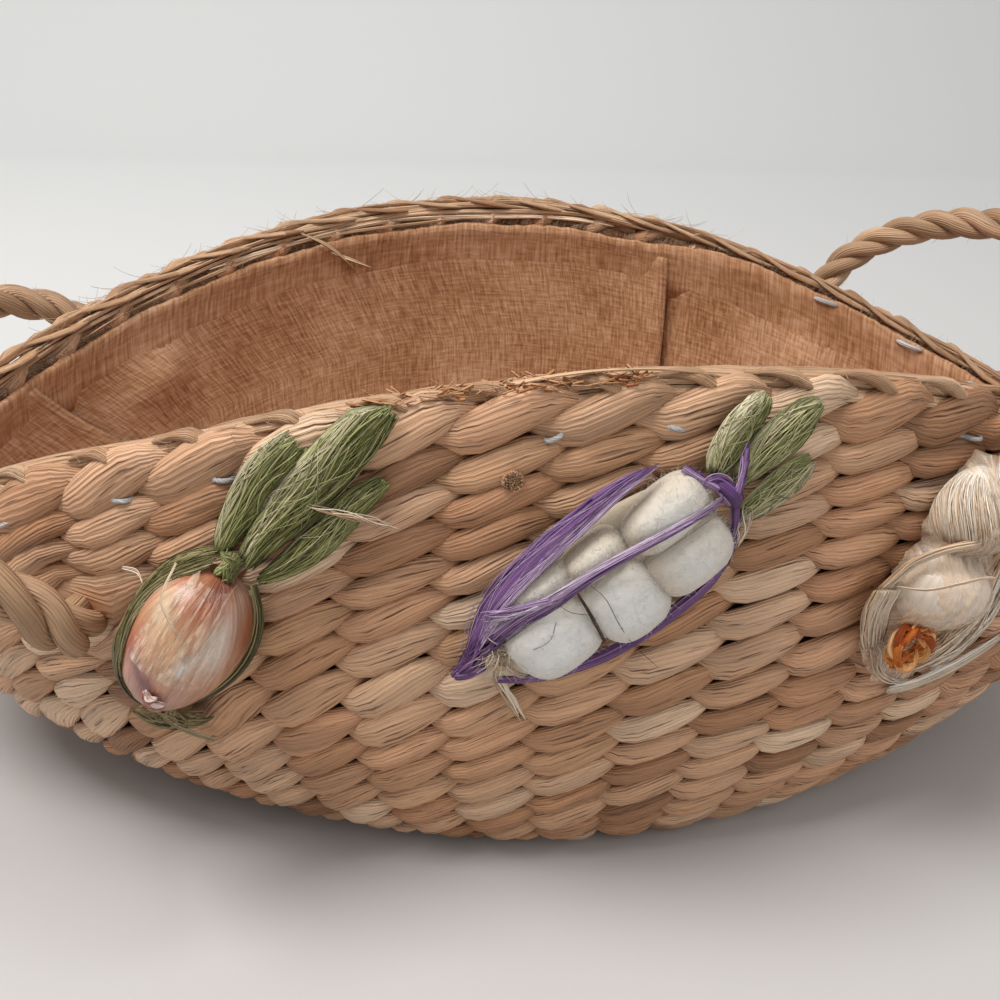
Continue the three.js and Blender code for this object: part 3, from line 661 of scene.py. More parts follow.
def strands(paths, wide, thick, facing, sides=6, roll=0.0, skew=0.0):
    """Strands along paths[k][station], given half widths and half thicknesses in metres."""
    paths = np.asarray(paths, float)
    count, stations = paths.shape[:2]
    wide = np.broadcast_to(wide, (count, stations))[..., None, None]
    thick = np.broadcast_to(thick, (count, stations))[..., None, None]
    roll = np.broadcast_to(roll, (count, stations))[..., None]
    tangent = unit(np.gradient(paths, axis=1))
    across = unit(np.cross(tangent, np.broadcast_to(facing, paths.shape)))
    out = np.cross(across, tangent)
    across, out = across * np.cos(roll) + out * np.sin(roll), out * np.cos(roll) - across * np.sin(roll)
    # An oval ring at every station.
    angle = (np.arange(sides) * 2 * np.pi / sides)[:, None]
    rings = (
        paths[:, :, None]
        + wide * np.cos(angle) * across[:, :, None]
        + thick * np.sin(angle) * out[:, :, None]
    )
    i, j = [m.ravel() for m in np.meshgrid(np.arange(stations - 1), np.arange(sides), indexing="ij")]
    k = (j + 1) % sides
    # Faces between the rings, and a row of faces across each end.
    walls = np.stack([i * sides + j, (i + 1) * sides + j, (i + 1) * sides + k, i * sides + k], -1)
    end = np.array([[0, 2 * n + 1, 2 * n + 2, 2 * n + 3] for n in range(sides // 2 - 1)])
    faces = np.concatenate([walls, end, end[:, ::-1] + (stations - 1) * sides])
    size = stations * sides
    all_faces = (faces + np.arange(count)[:, None, None] * size).reshape(-1, 4)
    # The grain map in millimetres, round the strand and along it, with a fresh start for each.
    girth = (np.pi * (wide + thick).mean(axis=(1, 2, 3)) / MM)[:, None]
    run = np.linalg.norm(np.diff(paths, axis=1), axis=2) / MM
    run = np.concatenate([np.zeros((count, 1)), np.cumsum(run, axis=1)], axis=1)
    run = run + draw.uniform(0, 900, (count, 1))
    u = np.stack([j, j, j + 1, j + 1], -1) / sides
    v = np.stack([i, i + 1, i + 1, i], -1)
    cap_u = np.tile(np.concatenate([end, end[:, ::-1]]) / sides, (count, 1, 1))
    cap_v = np.concatenate([np.zeros_like(end), np.full_like(end, stations - 1)])
    along = np.concatenate([run[:, v.ravel()], run[:, cap_v.ravel()]], axis=1)
    round_ = np.concatenate([np.tile(u.ravel(), (count, 1)), cap_u.reshape(count, -1)], axis=1)
    grain = np.stack([round_ * girth + skew * along, along], axis=-1).reshape(-1, 4, 2)
    tint = np.repeat(draw.uniform(0, 1, count), size)
    return rings.reshape(-1, 3), all_faces, grain, tint


# %% [markdown]
# The stakes are flat, pressed stalks. They start under the middle of the base, bend up at the
# foot and climb behind the rows. They show only as short stubs between the lobes. On the base
# they lie side by side like spokes, so they narrow towards the middle.

# %% Stakes
STAKE_HALF_WIDTH = 3.3 * MM
STAKE_HALF_THICKNESS = 0.75 * MM
STAKE_DEPTH = 6.5 * MM
HUB_RADIUS = 6 * MM


def set_stakes():
    """All stakes at once: spokes over the base first, then the climb up the wall."""
    stake = np.arange(STAKES)[:, None]
    ups = np.linspace(0, ROW_EDGES[ROWS], 34)[None, :]
    climb = woven(stake, ups, STAKE_DEPTH)
    foot = climb[:, :1]
    shares = np.linspace(HUB_RADIUS / BASE_HALF_WIDTH, 1, 12)[:-1][None, :, None]
    spokes = foot * shares * [1, 1, 0] + [0, 0, STAKE_DEPTH]
    paths = np.concatenate([spokes, climb], axis=1)
    radius = np.hypot(paths[..., 0], paths[..., 1])
    wide = np.minimum(STAKE_HALF_WIDTH, radius * np.pi / STAKES * 0.97)
    wide = wide * (1 + 0.05 * np.sin(np.arange(paths.shape[1]) * 1.3 + 2.1 * stake))
    down = np.tile([0, 0, -1.0], spokes.shape[:2] + (1,))
    outward = unit(np.concatenate([down, climb - [0, 0, 0.12]], axis=1))
    pieces = strands(paths, wide, STAKE_HALF_THICKNESS, outward, sides=8)
    obj = mesh_piece("stakes", *pieces)
    settle(obj, SHADED_STAKE_SKIN, ["stake_frame"])
    print("stakes:", STAKES, "faces:", len(pieces[1]))


set_stakes()

# %% [markdown]
# The border is a thinner pair of weavers that lean the other way, over three flat strands which
# run along the rim and close it. Near the middle of the front the maker's last weavers end:
# they are chopped off there, and one loose fibre lies over the rim. Short hairs stand all round,
# long straws lie inside the far rim, and one cut stalk end stands out of the front wall.

# %% Border and loose ends
STUB_STAKE = 34.12
STUB_UP = 0.863
# The share up the slant at which the rim's directions are taken.
RIM_UP = 0.98
# Chopped ends show the stalk's inside, redder and duller than its skin.
FRAYED_SKIN = hyacinth(
    "chopped_hyacinth_ends", ["96562e", "b4754a", "cf9c6e", "c28552", "ddb48c"], 0.4
)
# Single fibres torn from a stalk are pale and dry, with hardly a crease.
STRAW_SKIN = hyacinth(
    "loose_hyacinth_fibre", ["c39c7a", "d2ae8c", "b38a66", "dcc0a2"], 0.4, "8a6844"
)


def rim_point(stake, down, depth):
    """Point near the rim, down the wall by a length, both in metres."""
    return woven(stake, 1 - down / SLANT, depth)


def weave_border():
    """The thin pair of weavers along the rim and the flat strands inside it."""
    low = ROW_EDGES[ROWS] + 0.25 * BORDER_HEIGHT / SLANT
    points, faces, grain, tint = twined_row(low, 1, open_back=True, lean=-0.5, gather=0.7)
    pair = points - 0.8 * MM * unit(points * [1, 1, 0]), faces, grain, tint
    stake = np.linspace(0, STAKES, STAKES * 6 + 1)
    edge = []
    # Length down from the rim, depth, half width and half thickness of each flat strand, in mm.
    for down, depth, wide, thick in ((1.2, 4.6, 2.1, 0.8), (3.6, 6.4, 1.9, 0.6), (4.9, 3.6, 1.8, 0.7)):
        wave = 0.4 * np.sin(stake * 2.1 + down * 5) + 0.3 * np.sin(stake * 0.9 + depth)
        line = rim_point(stake, (down + wave) * MM, depth * MM)
        out = unit(line * [1, 1, 0])
        turn = 0.5 + 0.35 * np.sin(stake * 1.4 + down)
        edge.append(strands([line], wide * MM, thick * MM, out, sides=8, roll=turn))
    obj = mesh_piece("rim_border_weave", *gathered(*zip(pair, *edge)))
    settle(obj, BORDER_SKIN, ["rim_border"])


def scatter_hairs(start, direction, length, bend, radius, stations=5):
    """Short hairs from start points, each bent sideways by its own amount."""
    count = len(start)
    share = np.linspace(0, 1, stations)[None, :, None]
    direction = unit(direction)
    sideways = unit(np.cross(direction, draw.normal(0, 1, (count, 3))))
    paths = (
        start[:, None]
        + direction[:, None] * share * length[:, None, None]
        + sideways[:, None] * share**2 * (bend * length)[:, None, None]
    )
    taper = radius * np.linspace(1, 0.4, stations)
    return strands(paths, taper, taper, sideways[:, None] + 0 * paths, sides=4)


def fray_rim():
    """The chopped weavers, the loose fibre beside them, hairs all round and wisps at the back."""
    # The weavers' chopped ends.
    count = 320
    stake = draw.uniform(32.6, 35.3, count)
    start = rim_point(stake, draw.uniform(-0.6, 1.6, count) * MM, draw.uniform(0.5, 6.5, count) * MM)
    along, _, outward = wall_frame(stake, RIM_UP, 3 * MM)
    slope = draw.normal(0, 0.35, (count, 1))
    direction = along * draw.choice([-1, 1], (count, 1)) + [0, 0, 1] * np.abs(slope) + outward * slope
    share = np.linspace(0, 1, 4)[None, :, None]
    length = draw.uniform(1.5, 5, count) * MM
    paths = start[:, None] + unit(direction)[:, None] * share * length[:, None, None]
    wide = draw.uniform(0.1, 0.4, (count, 1)) * MM
    roll = draw.uniform(0, 3, (count, 1))
    chopped = strands(paths, wide, 0.1 * MM, outward[:, None], sides=4, roll=roll)
    obj = mesh_piece("chopped_weaver_ends", *chopped)
    settle(obj, FRAYED_SKIN)

    # The one loose fibre.
    stake = np.linspace(33.8, 36.1, 24)
    lift = 2.4 * np.sin(np.linspace(0, np.pi, 24)) ** 0.7
    line = rim_point(stake, 0.6 * MM, 2.4 * MM) + lift[:, None] * [0, 0, 1 * MM]
    wide = np.interp(np.arange(24), [0, 3, 20, 23], [0.3, 0.8, 0.7, 0.2]) * MM
    loose = strands([line], wide, 0.25 * MM, [[0, -0.5, 0.85]], roll=np.linspace(0, 1.2, 24))
    # Hairs all round, then longer wisps along the far rim.
    count = 420
    stake = draw.uniform(0, STAKES, count)
    start = rim_point(stake, draw.uniform(0.2, 3, count) * MM, draw.uniform(0.5, 7, count) * MM)
    _, upward, outward = wall_frame(stake, RIM_UP, 3 * MM)
    lean = draw.normal(0, 1, (count, 3)) * 0.9
    hairs = scatter_hairs(start, upward + lean, draw.uniform(1, 4, count) * MM, 0.5, 0.07 * MM)
    count = 260
    stake = draw.uniform(7.6, 23, count)
    start = rim_point(stake, draw.uniform(0, 2.4, count) * MM, draw.uniform(0.5, 8, count) * MM)
    along, upward, _ = wall_frame(stake, RIM_UP, 3 * MM)
    way = along * draw.choice([-1, 1], (count, 1)) + upward * draw.normal(0.12, 0.25, (count, 1))
    wisps = scatter_hairs(start, way, draw.uniform(4, 13, count) * MM, 0.5, 0.11 * MM, 8)
    obj = mesh_piece("rim_fibres", *gathered(*zip(loose, hairs, wisps)))
    settle(obj, STRAW_SKIN)
    print("chopped ends, loose fibre and hairs:", len(chopped[1]) + len(hairs[1]), "faces")


def lay_rim_straws():
    """Loose strands inside the far rim, two fibres hanging from them, one cut stalk outside."""
    parts = []
    # Length down from the rim and depth in mm, first and last stake, half width in mm.
    for down, deep, first, last, wide in (
        (1.6, 8.2, 8.6, 16.0, 1.1),
        (2.8, 9.0, 11.0, 20.6, 0.9),
        (4.2, 9.4, 8.8, 15.2, 1.0),
        (4.8, 9.2, 13.6, 21.4, 0.8),
        (6.2, 9.8, 9.6, 17.4, 0.9),
        (7.4, 10.0, 12.4, 19.8, 0.7),
        (3.4, 8.8, 20.2, 25.0, 0.9),
    ):
        stake = np.linspace(first, last, 40)
        wave = 0.5 * np.sin(stake * 1.7 + down * 3) + 0.35 * np.sin(stake * 0.8 + deep)
        line = rim_point(stake, (down + wave) * MM, (deep + 0.4 * wave) * MM)
        thin = np.interp(np.arange(40), [0, 3, 36, 39], [0.2, 1, 1, 0.2]) * wide * MM
        inward = -unit(line * [1, 1, 0])
        parts.append(strands([line], thin, 0.3 * MM, inward, roll=0.5 * np.sin(stake + down)))
    for route in (
        ((15.7, 3, 10.6), (15.3, 9, 13), (14.9, 17, 12.4), (14.6, 24, 10.4)),
        ((15.1, 14, 11), (14.7, 19, 12), (14.3, 24, 10.4)),
    ):
        stake, down, deep = curve(route, 16).T
        line = rim_point(stake, down * MM, deep * MM)
        thin = np.interp(np.arange(16), [0, 5, 12, 15], [0.3, 0.9, 0.7, 0.2]) * MM
        parts.append(strands([line], thin, 0.15 * MM, [[0, -1, 0.4]], roll=np.linspace(0, 0.8, 16)))
    obj = mesh_piece("inner_rim_straws", *gathered(*zip(*parts)))
    settle(obj, STRAW_SKIN)
    # The cut stalk: a short core and the ends of its fibres.
    count = 150
    turn, far = draw.uniform(0, 2 * np.pi, (2, count))
    far = 2.3 * np.sqrt(far / (2 * np.pi)) * MM
    along, upward, outward = wall_frame(STUB_STAKE, STUB_UP, 0)
    start = woven(STUB_STAKE, STUB_UP, 4 * MM)
    core_line = start + outward * np.array([[0], [2], [4], [4.7]]) * MM
    stalk = strands([core_line], 2.5 * MM, 2.3 * MM, upward, 16)
    spread = np.cos(turn)[:, None] * along + np.sin(turn)[:, None] * upward
    root = start + far[:, None] * spread + outward * 3 * MM
    reach = draw.uniform(1.7, 2.3, (count, 1)) * MM
    paths = np.stack([root, root + outward * reach * 0.6, root + outward * reach], axis=1)
    fibres = strands(paths, draw.uniform(0.16, 0.28, (count, 1)) * MM, 0.16 * MM, upward, sides=5)
    obj = mesh_piece("cut_stalk_end", *gathered(*zip(stalk, fibres)))
    settle(obj, BORDER_SKIN)


weave_border()
fray_rim()
lay_rim_straws()

# %% [markdown]
# The lining is coarse jute cloth, sewn as a bag: an oval bottom and four side panels, joined by
# seams where the wall turns, three of them upright and the left back one slantwise. Each panel
# starts as a flat grid and is laid on the wall's inner side with slack wrinkles. It bulges over
# each rope end, and its raw upper edge frays.

# %% Lining cloth
CLOTH_DEPTH = 8.25 * MM
CLOTH_HALF_THICKNESS = 0.35 * MM
CLOTH_TOP = ROW_EDGES[15]
RIGHT_SEAM = 8.5
LEFT_SEAM = 20.5
HEM = 11 * MM
SEAM_LAP = 0.04
ROPE_BULGE = 5.2 * MM
ROPE_BULGE_REACH = 12 * MM


def woven_cloth(name, light, mid, dark, thread_mm):
    """Plain-woven cloth: two sets of threads in millimetres, with slubs and stains."""
    material, shader = new_material(name, Roughness=0.95, Specular_IOR_Level=0.15)
    grain = add_node(material, "ShaderNodeUVMap", uv_map="grain").outputs["UV"]
    layers = []
    for scale in ((1 / thread_mm, 0.12 / thread_mm, 1), (0.12 / thread_mm, 0.8 / thread_mm, 1)):
        spot = add_node(material, "ShaderNodeMapping", {"Vector": grain, "Scale": scale})
        layers.append(
            add_node(
                material,
                "ShaderNodeTexNoise",
                {"Vector": spot.outputs["Vector"], "Scale": 1.0, "Detail": 2.0, "Roughness": 0.55},
            ).outputs["Fac"]
        )
    cloud = add_node(
        material, "ShaderNodeTexNoise", {"Vector": grain, "Scale": 0.022, "Detail": 1.0}
    ).outputs["Fac"]
    mixed = add_node(
        material, "ShaderNodeMath", {0: layers[1], 1: 0.55, 2: layers[0]}, operation="MULTIPLY_ADD"
    ).outputs["Value"]
    total = add_node(
        material, "ShaderNodeMath", {0: cloud, 1: 0.5, 2: mixed}, operation="MULTIPLY_ADD"
    ).outputs["Value"]
    share = add_node(
        material, "ShaderNodeMapRange", {"Value": total, "From Min": 0.7, "From Max": 1.36}
    ).outputs["Result"]
    colour = add_node(
        material, "ShaderNodeValToRGB", {"Fac": share}, stops=[(0.0, dark), (0.45, mid), (1.0, light)]
    ).outputs["Color"]
    relief = add_node(
        material, "ShaderNodeBump", {"Height": mixed, "Distance": 0.0006, "Strength": 0.7}
    ).outputs["Normal"]
    connect(material, colour, shader, "Base Color")
    connect(material, relief, shader, "Normal")
    return material


# Sacking of coarse jute: threads in both directions, thick and thin, rusty with faint stains.
JUTE_CLOTH = woven_cloth("coarse_jute_cloth", "cba486", "ab7d5a", "82573a", 1.0)


def cloth_depth(stake, up, first, last):
    """How far in the cloth lies: slack wrinkles, a bulge over each rope end, rolled seams."""
    wave = np.sin(stake * 1.7 + 3 * up) * np.sin(up * 9 + stake * 0.6)
    fine = np.sin(stake * 4.1 - up * 14) * np.sin(up * 21 + stake * 1.3)
    slack = 0.5 + 0.3 * wave + 0.2 * fine
    depth = CLOTH_DEPTH + 1.1 * MM * slack
    for gap in ROPE_GAPS:
        away = (stake - gap + STAKES / 2) % STAKES - STAKES / 2
        across = away * STAKE_SPACING_MM * MM
        along = (up - ROW_EDGES[ROPE_ROW]) * SLANT
        depth = depth + ROPE_BULGE * np.exp(-(across**2 + along**2) / ROPE_BULGE_REACH**2)
    lap = 2.2 * np.exp(-(((stake - first) * 3.6) ** 2)) - 1.1 * np.exp(-(((last - stake) * 3.4) ** 2))
    return depth + lap * MM


def cloth_grid(columns, rows):
    """A flat grid as its points' two shares and its faces, ready to be laid on the wall."""
    deselect()
    bpy.ops.mesh.primitive_grid_add(x_subdivisions=columns, y_subdivisions=rows, size=2)
    points, faces = take_apart(bpy.context.object)
    return (points[:, 0] + 1) / 2, (points[:, 1] + 1) / 2, np.array(faces)


def thicken(obj, thickness):
    """Give a laid cloth its thickness and close its edges."""
    deselect()
    bpy.context.view_layer.objects.active = obj
    obj.select_set(True)
    solid = obj.modifiers.new("thickness", "SOLIDIFY")
    solid.thickness = thickness
    solid.offset = 0
    bpy.ops.object.modifier_apply(modifier="thickness")


def seam_at(seam, up):
    """Where a seam is at a height: the one at the left of the back wall runs slantwise."""
    return seam + (np.interp(up, [0.6, 1.0], [-1.3, 0.75]) if seam == LEFT_SEAM else 0)


def hang_panel(name, node, first, last):
    """A side panel between two seams, from the base to the hem."""
    across, height, faces = cloth_grid(int((last - first) * 6), 46)
    up = height * CLOTH_TOP
    first, last = seam_at(first, up), seam_at(last, up)
    stake = first + across * (last - first + SEAM_LAP)
    depth = cloth_depth(stake, up, first, last)
    frayed = (height > 0.999) * draw.uniform(-1.2, 0.6, len(height)) * MM / SLANT
    points = woven(stake, up + frayed, depth)
    smooth = woven(stake, up, CLOTH_DEPTH)
    tops = points[height > 0.999]
    width = np.linalg.norm(np.diff(tops, axis=0), axis=1).sum()
    reach = CLOTH_TOP * SLANT
    grain = np.stack([across * width / MM, height * reach / MM], axis=-1)[faces]
    obj = mesh_piece(name, points, faces, grain)
    thicken(obj, 2 * CLOTH_HALF_THICKNESS)
    settle(obj, JUTE_CLOTH, [node])


def lay_bottom():
    """The oval bottom: a ring filled inwards in rings, then laid a little wavy on the stakes."""
    deselect()
    bpy.ops.mesh.primitive_circle_add(vertices=96, radius=1, fill_type="NOTHING")
    disc = bpy.context.object
    bpy.ops.object.mode_set(mode="EDIT")
    bpy.ops.mesh.select_all(action="SELECT")
    for share in (0.86, 0.72, 0.58, 0.44, 0.3, 0.16):
        bpy.ops.mesh.extrude_region_move(TRANSFORM_OT_translate={"value": (0, 0, 0)})
        scale = share / (share + 0.14)
        bpy.ops.transform.resize(value=(scale, scale, 1), center_override=(0, 0, 0))
    bpy.ops.mesh.edge_face_add()
    bpy.ops.object.mode_set(mode="OBJECT")
    disc.name = "lining_bottom_cloth"
    points = np.array([tuple(v.co) for v in disc.data.vertices])
    half_length = BASE_HALF_LENGTH - CLOTH_DEPTH - 1 * MM
    half_width = BASE_HALF_WIDTH - CLOTH_DEPTH - 1 * MM
    laid = points * [half_length, half_width, 0]
    laid[:, 2] = CLOTH_DEPTH + 0.3 * MM + 0.35 * MM * np.sin(points[:, 0] * 7) * np.sin(points[:, 1] * 9)
    disc.data.vertices.foreach_set("co", laid.ravel())
    layer = disc.data.uv_layers.active or disc.data.uv_layers.new(name="grain")
    layer.name = "grain"
    corners = np.array([loop.vertex_index for loop in disc.data.loops])
    layer.data.foreach_set("uv", (laid[corners, :2] / MM).ravel())
    disc.data.shade_smooth()
    thicken(disc, 2 * CLOTH_HALF_THICKNESS)
    settle(disc, JUTE_CLOTH, ["lining_bottom"])
    print("lining bottom flat", round(2 * half_length / MM), "x", round(2 * half_width / MM), "mm")


hang_panel("lining_right_cloth", "lining_right", -RIGHT_SEAM, RIGHT_SEAM)
hang_panel("lining_back_cloth", "lining_back", RIGHT_SEAM, LEFT_SEAM)
hang_panel("lining_left_cloth", "lining_left", LEFT_SEAM, STAKES - LEFT_SEAM)
hang_panel("lining_front_cloth", "lining_front", STAKES - LEFT_SEAM, STAKES - RIGHT_SEAM)
lay_bottom()

# %% [markdown]
# The folded hem is a second strip of the same cloth along the top, a little proud of the panel.
# Loose threads stand up from its raw edge. A light cotton thread runs in and out through the hem
# and the wall: long stitches inside, short ones outside in the valley between two rows.

# %% Hem and running stitch
# Undyed sewing cotton, spun and matt: a cool, pale line among warm browns.
THREAD_COTTON = hyacinth("white_cotton_thread", ["c9c7c5", "bab8b7", "d6d2cc"], 0.3, "908e8e")
# Yarns drawn out of the cloth's raw edge: the cloth's own jute, paler where light passes through.
FRINGE = hyacinth("frayed_jute_threads", ["a98465", "c2a182", "8f6a4a", "b5927a"], 0.3)
HEM_STEP_MM = 2.6
# The stitches' share up the slant, and the stakes at which the ones in the front wall show.
STITCH_UP = 0.921
OUTSIDE_STITCHES = [28.8, 30.2, 31.3, 33.0, 34.5, 35.7, 36.7, 37.8, 39.3]
# The stake near which the hem is folded highest.
RIGHT_END = 1.2


def turned_up(stake):
    """How far above the panels the hem reaches, in mm: up to the border at the right."""
    away = np.abs((stake - RIGHT_END + STAKES / 2) % STAKES - STAKES / 2)
    return 3.2 + 5.6 / (1 + np.exp((away - 7.0) * 4)) + 0.35 * np.sin(stake * 3.1)


def sew_hem():
    """The folded strip along the panels' top, and the fringe of its raw edge."""
    stake = np.linspace(0, STAKES, STAKES * 8 + 1)
    rise = turned_up(stake) + draw.uniform(-0.35, 0.35, len(stake))
    low = HEM / MM + 0.5 * np.sin(stake * 2.3) + 0.3 * np.sin(stake * 5.9)
    rows = []
    # Length down from the panels' top, and how far the hem stands in from them, in mm.
    for down, over in (
        (-rise, 0.9),
        (0.8 - rise, 2.1),
        (2 - 0.5 * rise, 1.7),
        (3.0, 1.1),
        (6.0, 0.7),
        (low, 0.2),
        (low + 6, -0.6),
    ):
        up = CLOTH_TOP - down * MM / SLANT
        depth = cloth_depth(stake, np.minimum(up, CLOTH_TOP), -STAKES, 2 * STAKES)
        rows.append(woven(stake, up, depth + over * MM))
    points = np.stack(rows).transpose(1, 0, 2)[:-1]
    count, levels = points.shape[:2]
    i, j = [m.ravel() for m in np.meshgrid(np.arange(count), np.arange(levels - 1), indexing="ij")]
    k = (i + 1) % count
    faces = np.stack([i * levels + j, i * levels + j + 1, k * levels + j + 1, k * levels + j], -1)
    column, level = np.stack([i, i, i + 1, i + 1], -1), np.stack([j, j + 1, j + 1, j], -1)
    grain = np.stack([column, level], -1) * HEM_STEP_MM
    hem = mesh_piece("lining_hem", points.reshape(-1, 3), faces, grain)
    thicken(hem, 0.5 * MM)
    settle(hem, JUTE_CLOTH)
    number = 2200
    place = draw.uniform(0, STAKES, number)
    edge = CLOTH_TOP + turned_up(place) * MM / SLANT
    start = woven(place, edge, draw.uniform(8.8, 9.8, number) * MM)
    _, upward, outward = wall_frame(place, edge, 9 * MM)
    direction = upward + draw.normal(0, 0.3, (number, 3)) - 0.1 * outward
    fringe = scatter_hairs(start, direction, draw.uniform(0.8, 3.4, number) * MM, 0.3, 0.15 * MM)
    obj = mesh_piece("hem_fringe", *fringe)
    settle(obj, FRINGE)


def sew_thread():
    """The running thread all round, and three long stitches inside at the right."""
    regular = np.arange(OUTSIDE_STITCHES[-1] + 1.45, STAKES + OUTSIDE_STITCHES[0] - 0.8, 1.42)
    outside = np.concatenate([OUTSIDE_STITCHES, regular])
    spots = []
    for here, after in zip(outside, np.append(outside[1:], outside[0] + STAKES)):
        half, tilt = draw.uniform(0.07, 0.13), draw.uniform(-0.006, 0.006)
        up = STITCH_UP + draw.uniform(-0.003, 0.004)
        inside = CLOTH_TOP - 2.6 * MM / SLANT + draw.uniform(-0.002, 0.002)
        gap = after - here
        spots += [
            (here - half, up - tilt, 2.6),
            (here - half * 0.5, up - tilt / 2, 0.9),
            (here + half * 0.5, up + tilt / 2, 0.9),
            (here + half, up + tilt, 2.6),
            (here + 0.36 * gap, inside, 8.2),
            (here + 0.58 * gap, inside, 8.2),
        ]
    spots.append((spots[0][0] + STAKES, *spots[0][1:]))
    stake, up, depth = np.array(spots).T
    line = curve(woven(stake, up, depth * MM), 2400)
    out = unit(line * [1, 1, 0])
    obj = mesh_piece("running_thread", *strands([line], 0.6 * MM, 0.5 * MM, [out], skew=0.6))
    settle(obj, THREAD_COTTON, ["lining_thread"])
    # The three long stitches inside.
    middle = np.array([[2.0], [3.51], [5.24]])
    stake = middle + np.linspace(-0.27, 0.27, 12)
    down = 6.2 + 0.8 * np.linspace(-1, 1, 12) + 0 * stake
    deep = 10.4 + 1.9 * np.sin(np.linspace(0, np.pi, 12)) ** 0.5 + 0 * stake
    line = rim_point(stake, down * MM, deep * MM)
    thick = np.interp(np.arange(12), [0, 2, 9, 11], [0.4, 1.1, 1.1, 0.4]) * MM + 0 * stake
    obj = mesh_piece("long_inner_stitches", *strands(line, thick, 0.6 * MM, -unit(line * [1, 1, 0])))
    settle(obj, THREAD_COTTON)
    print("outside stitches:", len(outside))


sew_hem()
sew_thread()

# %% [markdown]
# Each handle is a length of 12.5 mm jute rope: three strands laid right-handed. Its line is the
# same as in the CAD model: out through the wall, a short bend, up and over the basket's end, and
# back. Three oval strands follow helices round that line, each with a yarn pattern of its own.

# %% Rope handles
ROPE_LAY = 37 * MM
ROPE_STRAND = 2.95 * MM
LEFT_LEAN = math.radians(35)
ROPE_NECK_INSET = 4.2 * MM
ROPE_STANDOFF = 13 * MM
ROPE_BEND = 9 * MM
# Out from the hinge line, up from it, both in mm, and the share of the half width that is left.
LOOP_ROUTE = [
    (0, 12, 1),
    (3, 22, 1),
    (9, 37, 0.99),
    (16, 47, 0.96),
    (26, 56, 0.89),
    (42, 64, 0.76),
    (56, 67, 0.59),
    (67, 68, 0.4),
    (74, 68, 0.2),
    (75, 68, 0),
]
# Jute rope is matt and dusty, and fine yarn lines run aslant round every strand.
JUTE_ROPE = hyacinth("laid_jute_rope", ["b08c6c", "c19d7c", "9f7c5c"], 0.5, "674a32")


def rope_line(side, lean):
    """The handle's centre line, from the front wall over the basket's end to the back wall."""
    hole = rope_hole_centre(ROPE_GAP)
    wall = woven(ROPE_GAP, ROW_EDGES[ROPE_ROW], 0)[1]
    neck, reach = wall - ROPE_NECK_INSET, wall + ROPE_STANDOFF
    bend = reach - ROPE_BEND
    leg = [(0, -neck, 0), (0, -(neck + bend) / 2, 0), (0, -bend, 0)]
    for turned in (math.radians(30), math.radians(60)):
        leg.append((0, -bend - ROPE_BEND * math.sin(turned), ROPE_BEND * (1 - math.cos(turned))))
    leg += [(out * MM, -share * reach, up * MM) for out, up, share in LOOP_ROUTE]
    back = [(x, -y, z) for x, y, z in leg[-2::-1]]
    out, y, up = curve(leg + back, 560).T
    away = out * math.cos(lean) + up * math.sin(lean)
    rise = up * math.cos(lean) - out * math.sin(lean)
    return np.stack([side * (hole[0] + away), y, hole[2] + rise], axis=-1)


def carried_frame(line):
    """Two directions square to a line, carried along it without turning."""
    tangent = unit(np.gradient(line, axis=0))
    normal = [unit(np.cross(tangent[0], [0.3, 0, 1.0]))]
    for step in tangent[1:]:
        normal.append(unit(normal[-1] - step * (normal[-1] @ step)))
    normal = np.array(normal)
    return normal, np.cross(tangent, normal)


def lay_rope(name, node, side, lean, body):
    """A handle's three strands and its loose hairs."""
    line = rope_line(side, lean)
    length = np.linalg.norm(np.diff(line, axis=0), axis=1).sum()
    run = np.linspace(0, length, len(line))
    normal, binormal = carried_frame(line)
    helix = ROPE_RADIUS - ROPE_STRAND
    paths, radial = [], []
    for k in range(3):
        angle = (2 * np.pi * (run / ROPE_LAY + k / 3))[:, None]
        out = np.cos(angle) * normal + np.sin(angle) * binormal
        paths.append(line + helix * out)
        radial.append(out)
    rope = strands(paths, ROPE_STRAND * 1.04, ROPE_STRAND * 0.98, radial, sides=14, skew=-0.5)
    obj = mesh_piece(name, *rope)
    settle(obj, JUTE_ROPE, [node], body)
    count = 170
    pick = draw.integers(20, len(line) - 20, count)
    angle = draw.uniform(0, 2 * np.pi, (count, 1))
    out = np.cos(angle) * normal[pick] + np.sin(angle) * binormal[pick]
    start = line[pick] + out * 5.6 * MM
    direction = out * 0.5 + draw.normal(0, 0.6, (count, 3))
    hairs = scatter_hairs(start, direction, draw.uniform(1.2, 3.5, count) * MM, 0.6, 0.05 * MM)
    fuzz = mesh_piece(f"{name}_hairs", *hairs)
    settle(fuzz, JUTE_ROPE, body=body)
    print(name, "length, mm:", round(length / MM), "faces:", len(rope[1]))
    return obj, fuzz, line, length


def splay_tail(name, node, gap):
    """A rope's end inside the wall, opened out and sewn flat behind the lining."""
    count = 60
    turn = draw.uniform(0, 2 * np.pi, count)
    share = np.linspace(0, 1, 6)
    reach = draw.uniform(4.5, 8.6, count)[:, None] * share
    depth = np.broadcast_to(9.4 + 2.4 * (1 - share) ** 1.5, (count, 6)) + draw.uniform(0, 0.4, (count, 1))
    centre = woven(gap, ROW_EDGES[ROPE_ROW], 0)
    along, upward, outward = wall_frame(gap, ROW_EDGES[ROPE_ROW], 0.0)
    paths = (
        centre
        + (reach * np.cos(turn)[:, None])[..., None] * MM * along
        + (reach * np.sin(turn)[:, None])[..., None] * MM * upward
        - depth[..., None] * MM * outward
    )
    obj = mesh_piece(name, *strands(paths, 0.7 * MM, 0.3 * MM, -outward[None, None], sides=4))
    settle(obj, JUTE_ROPE, [node])


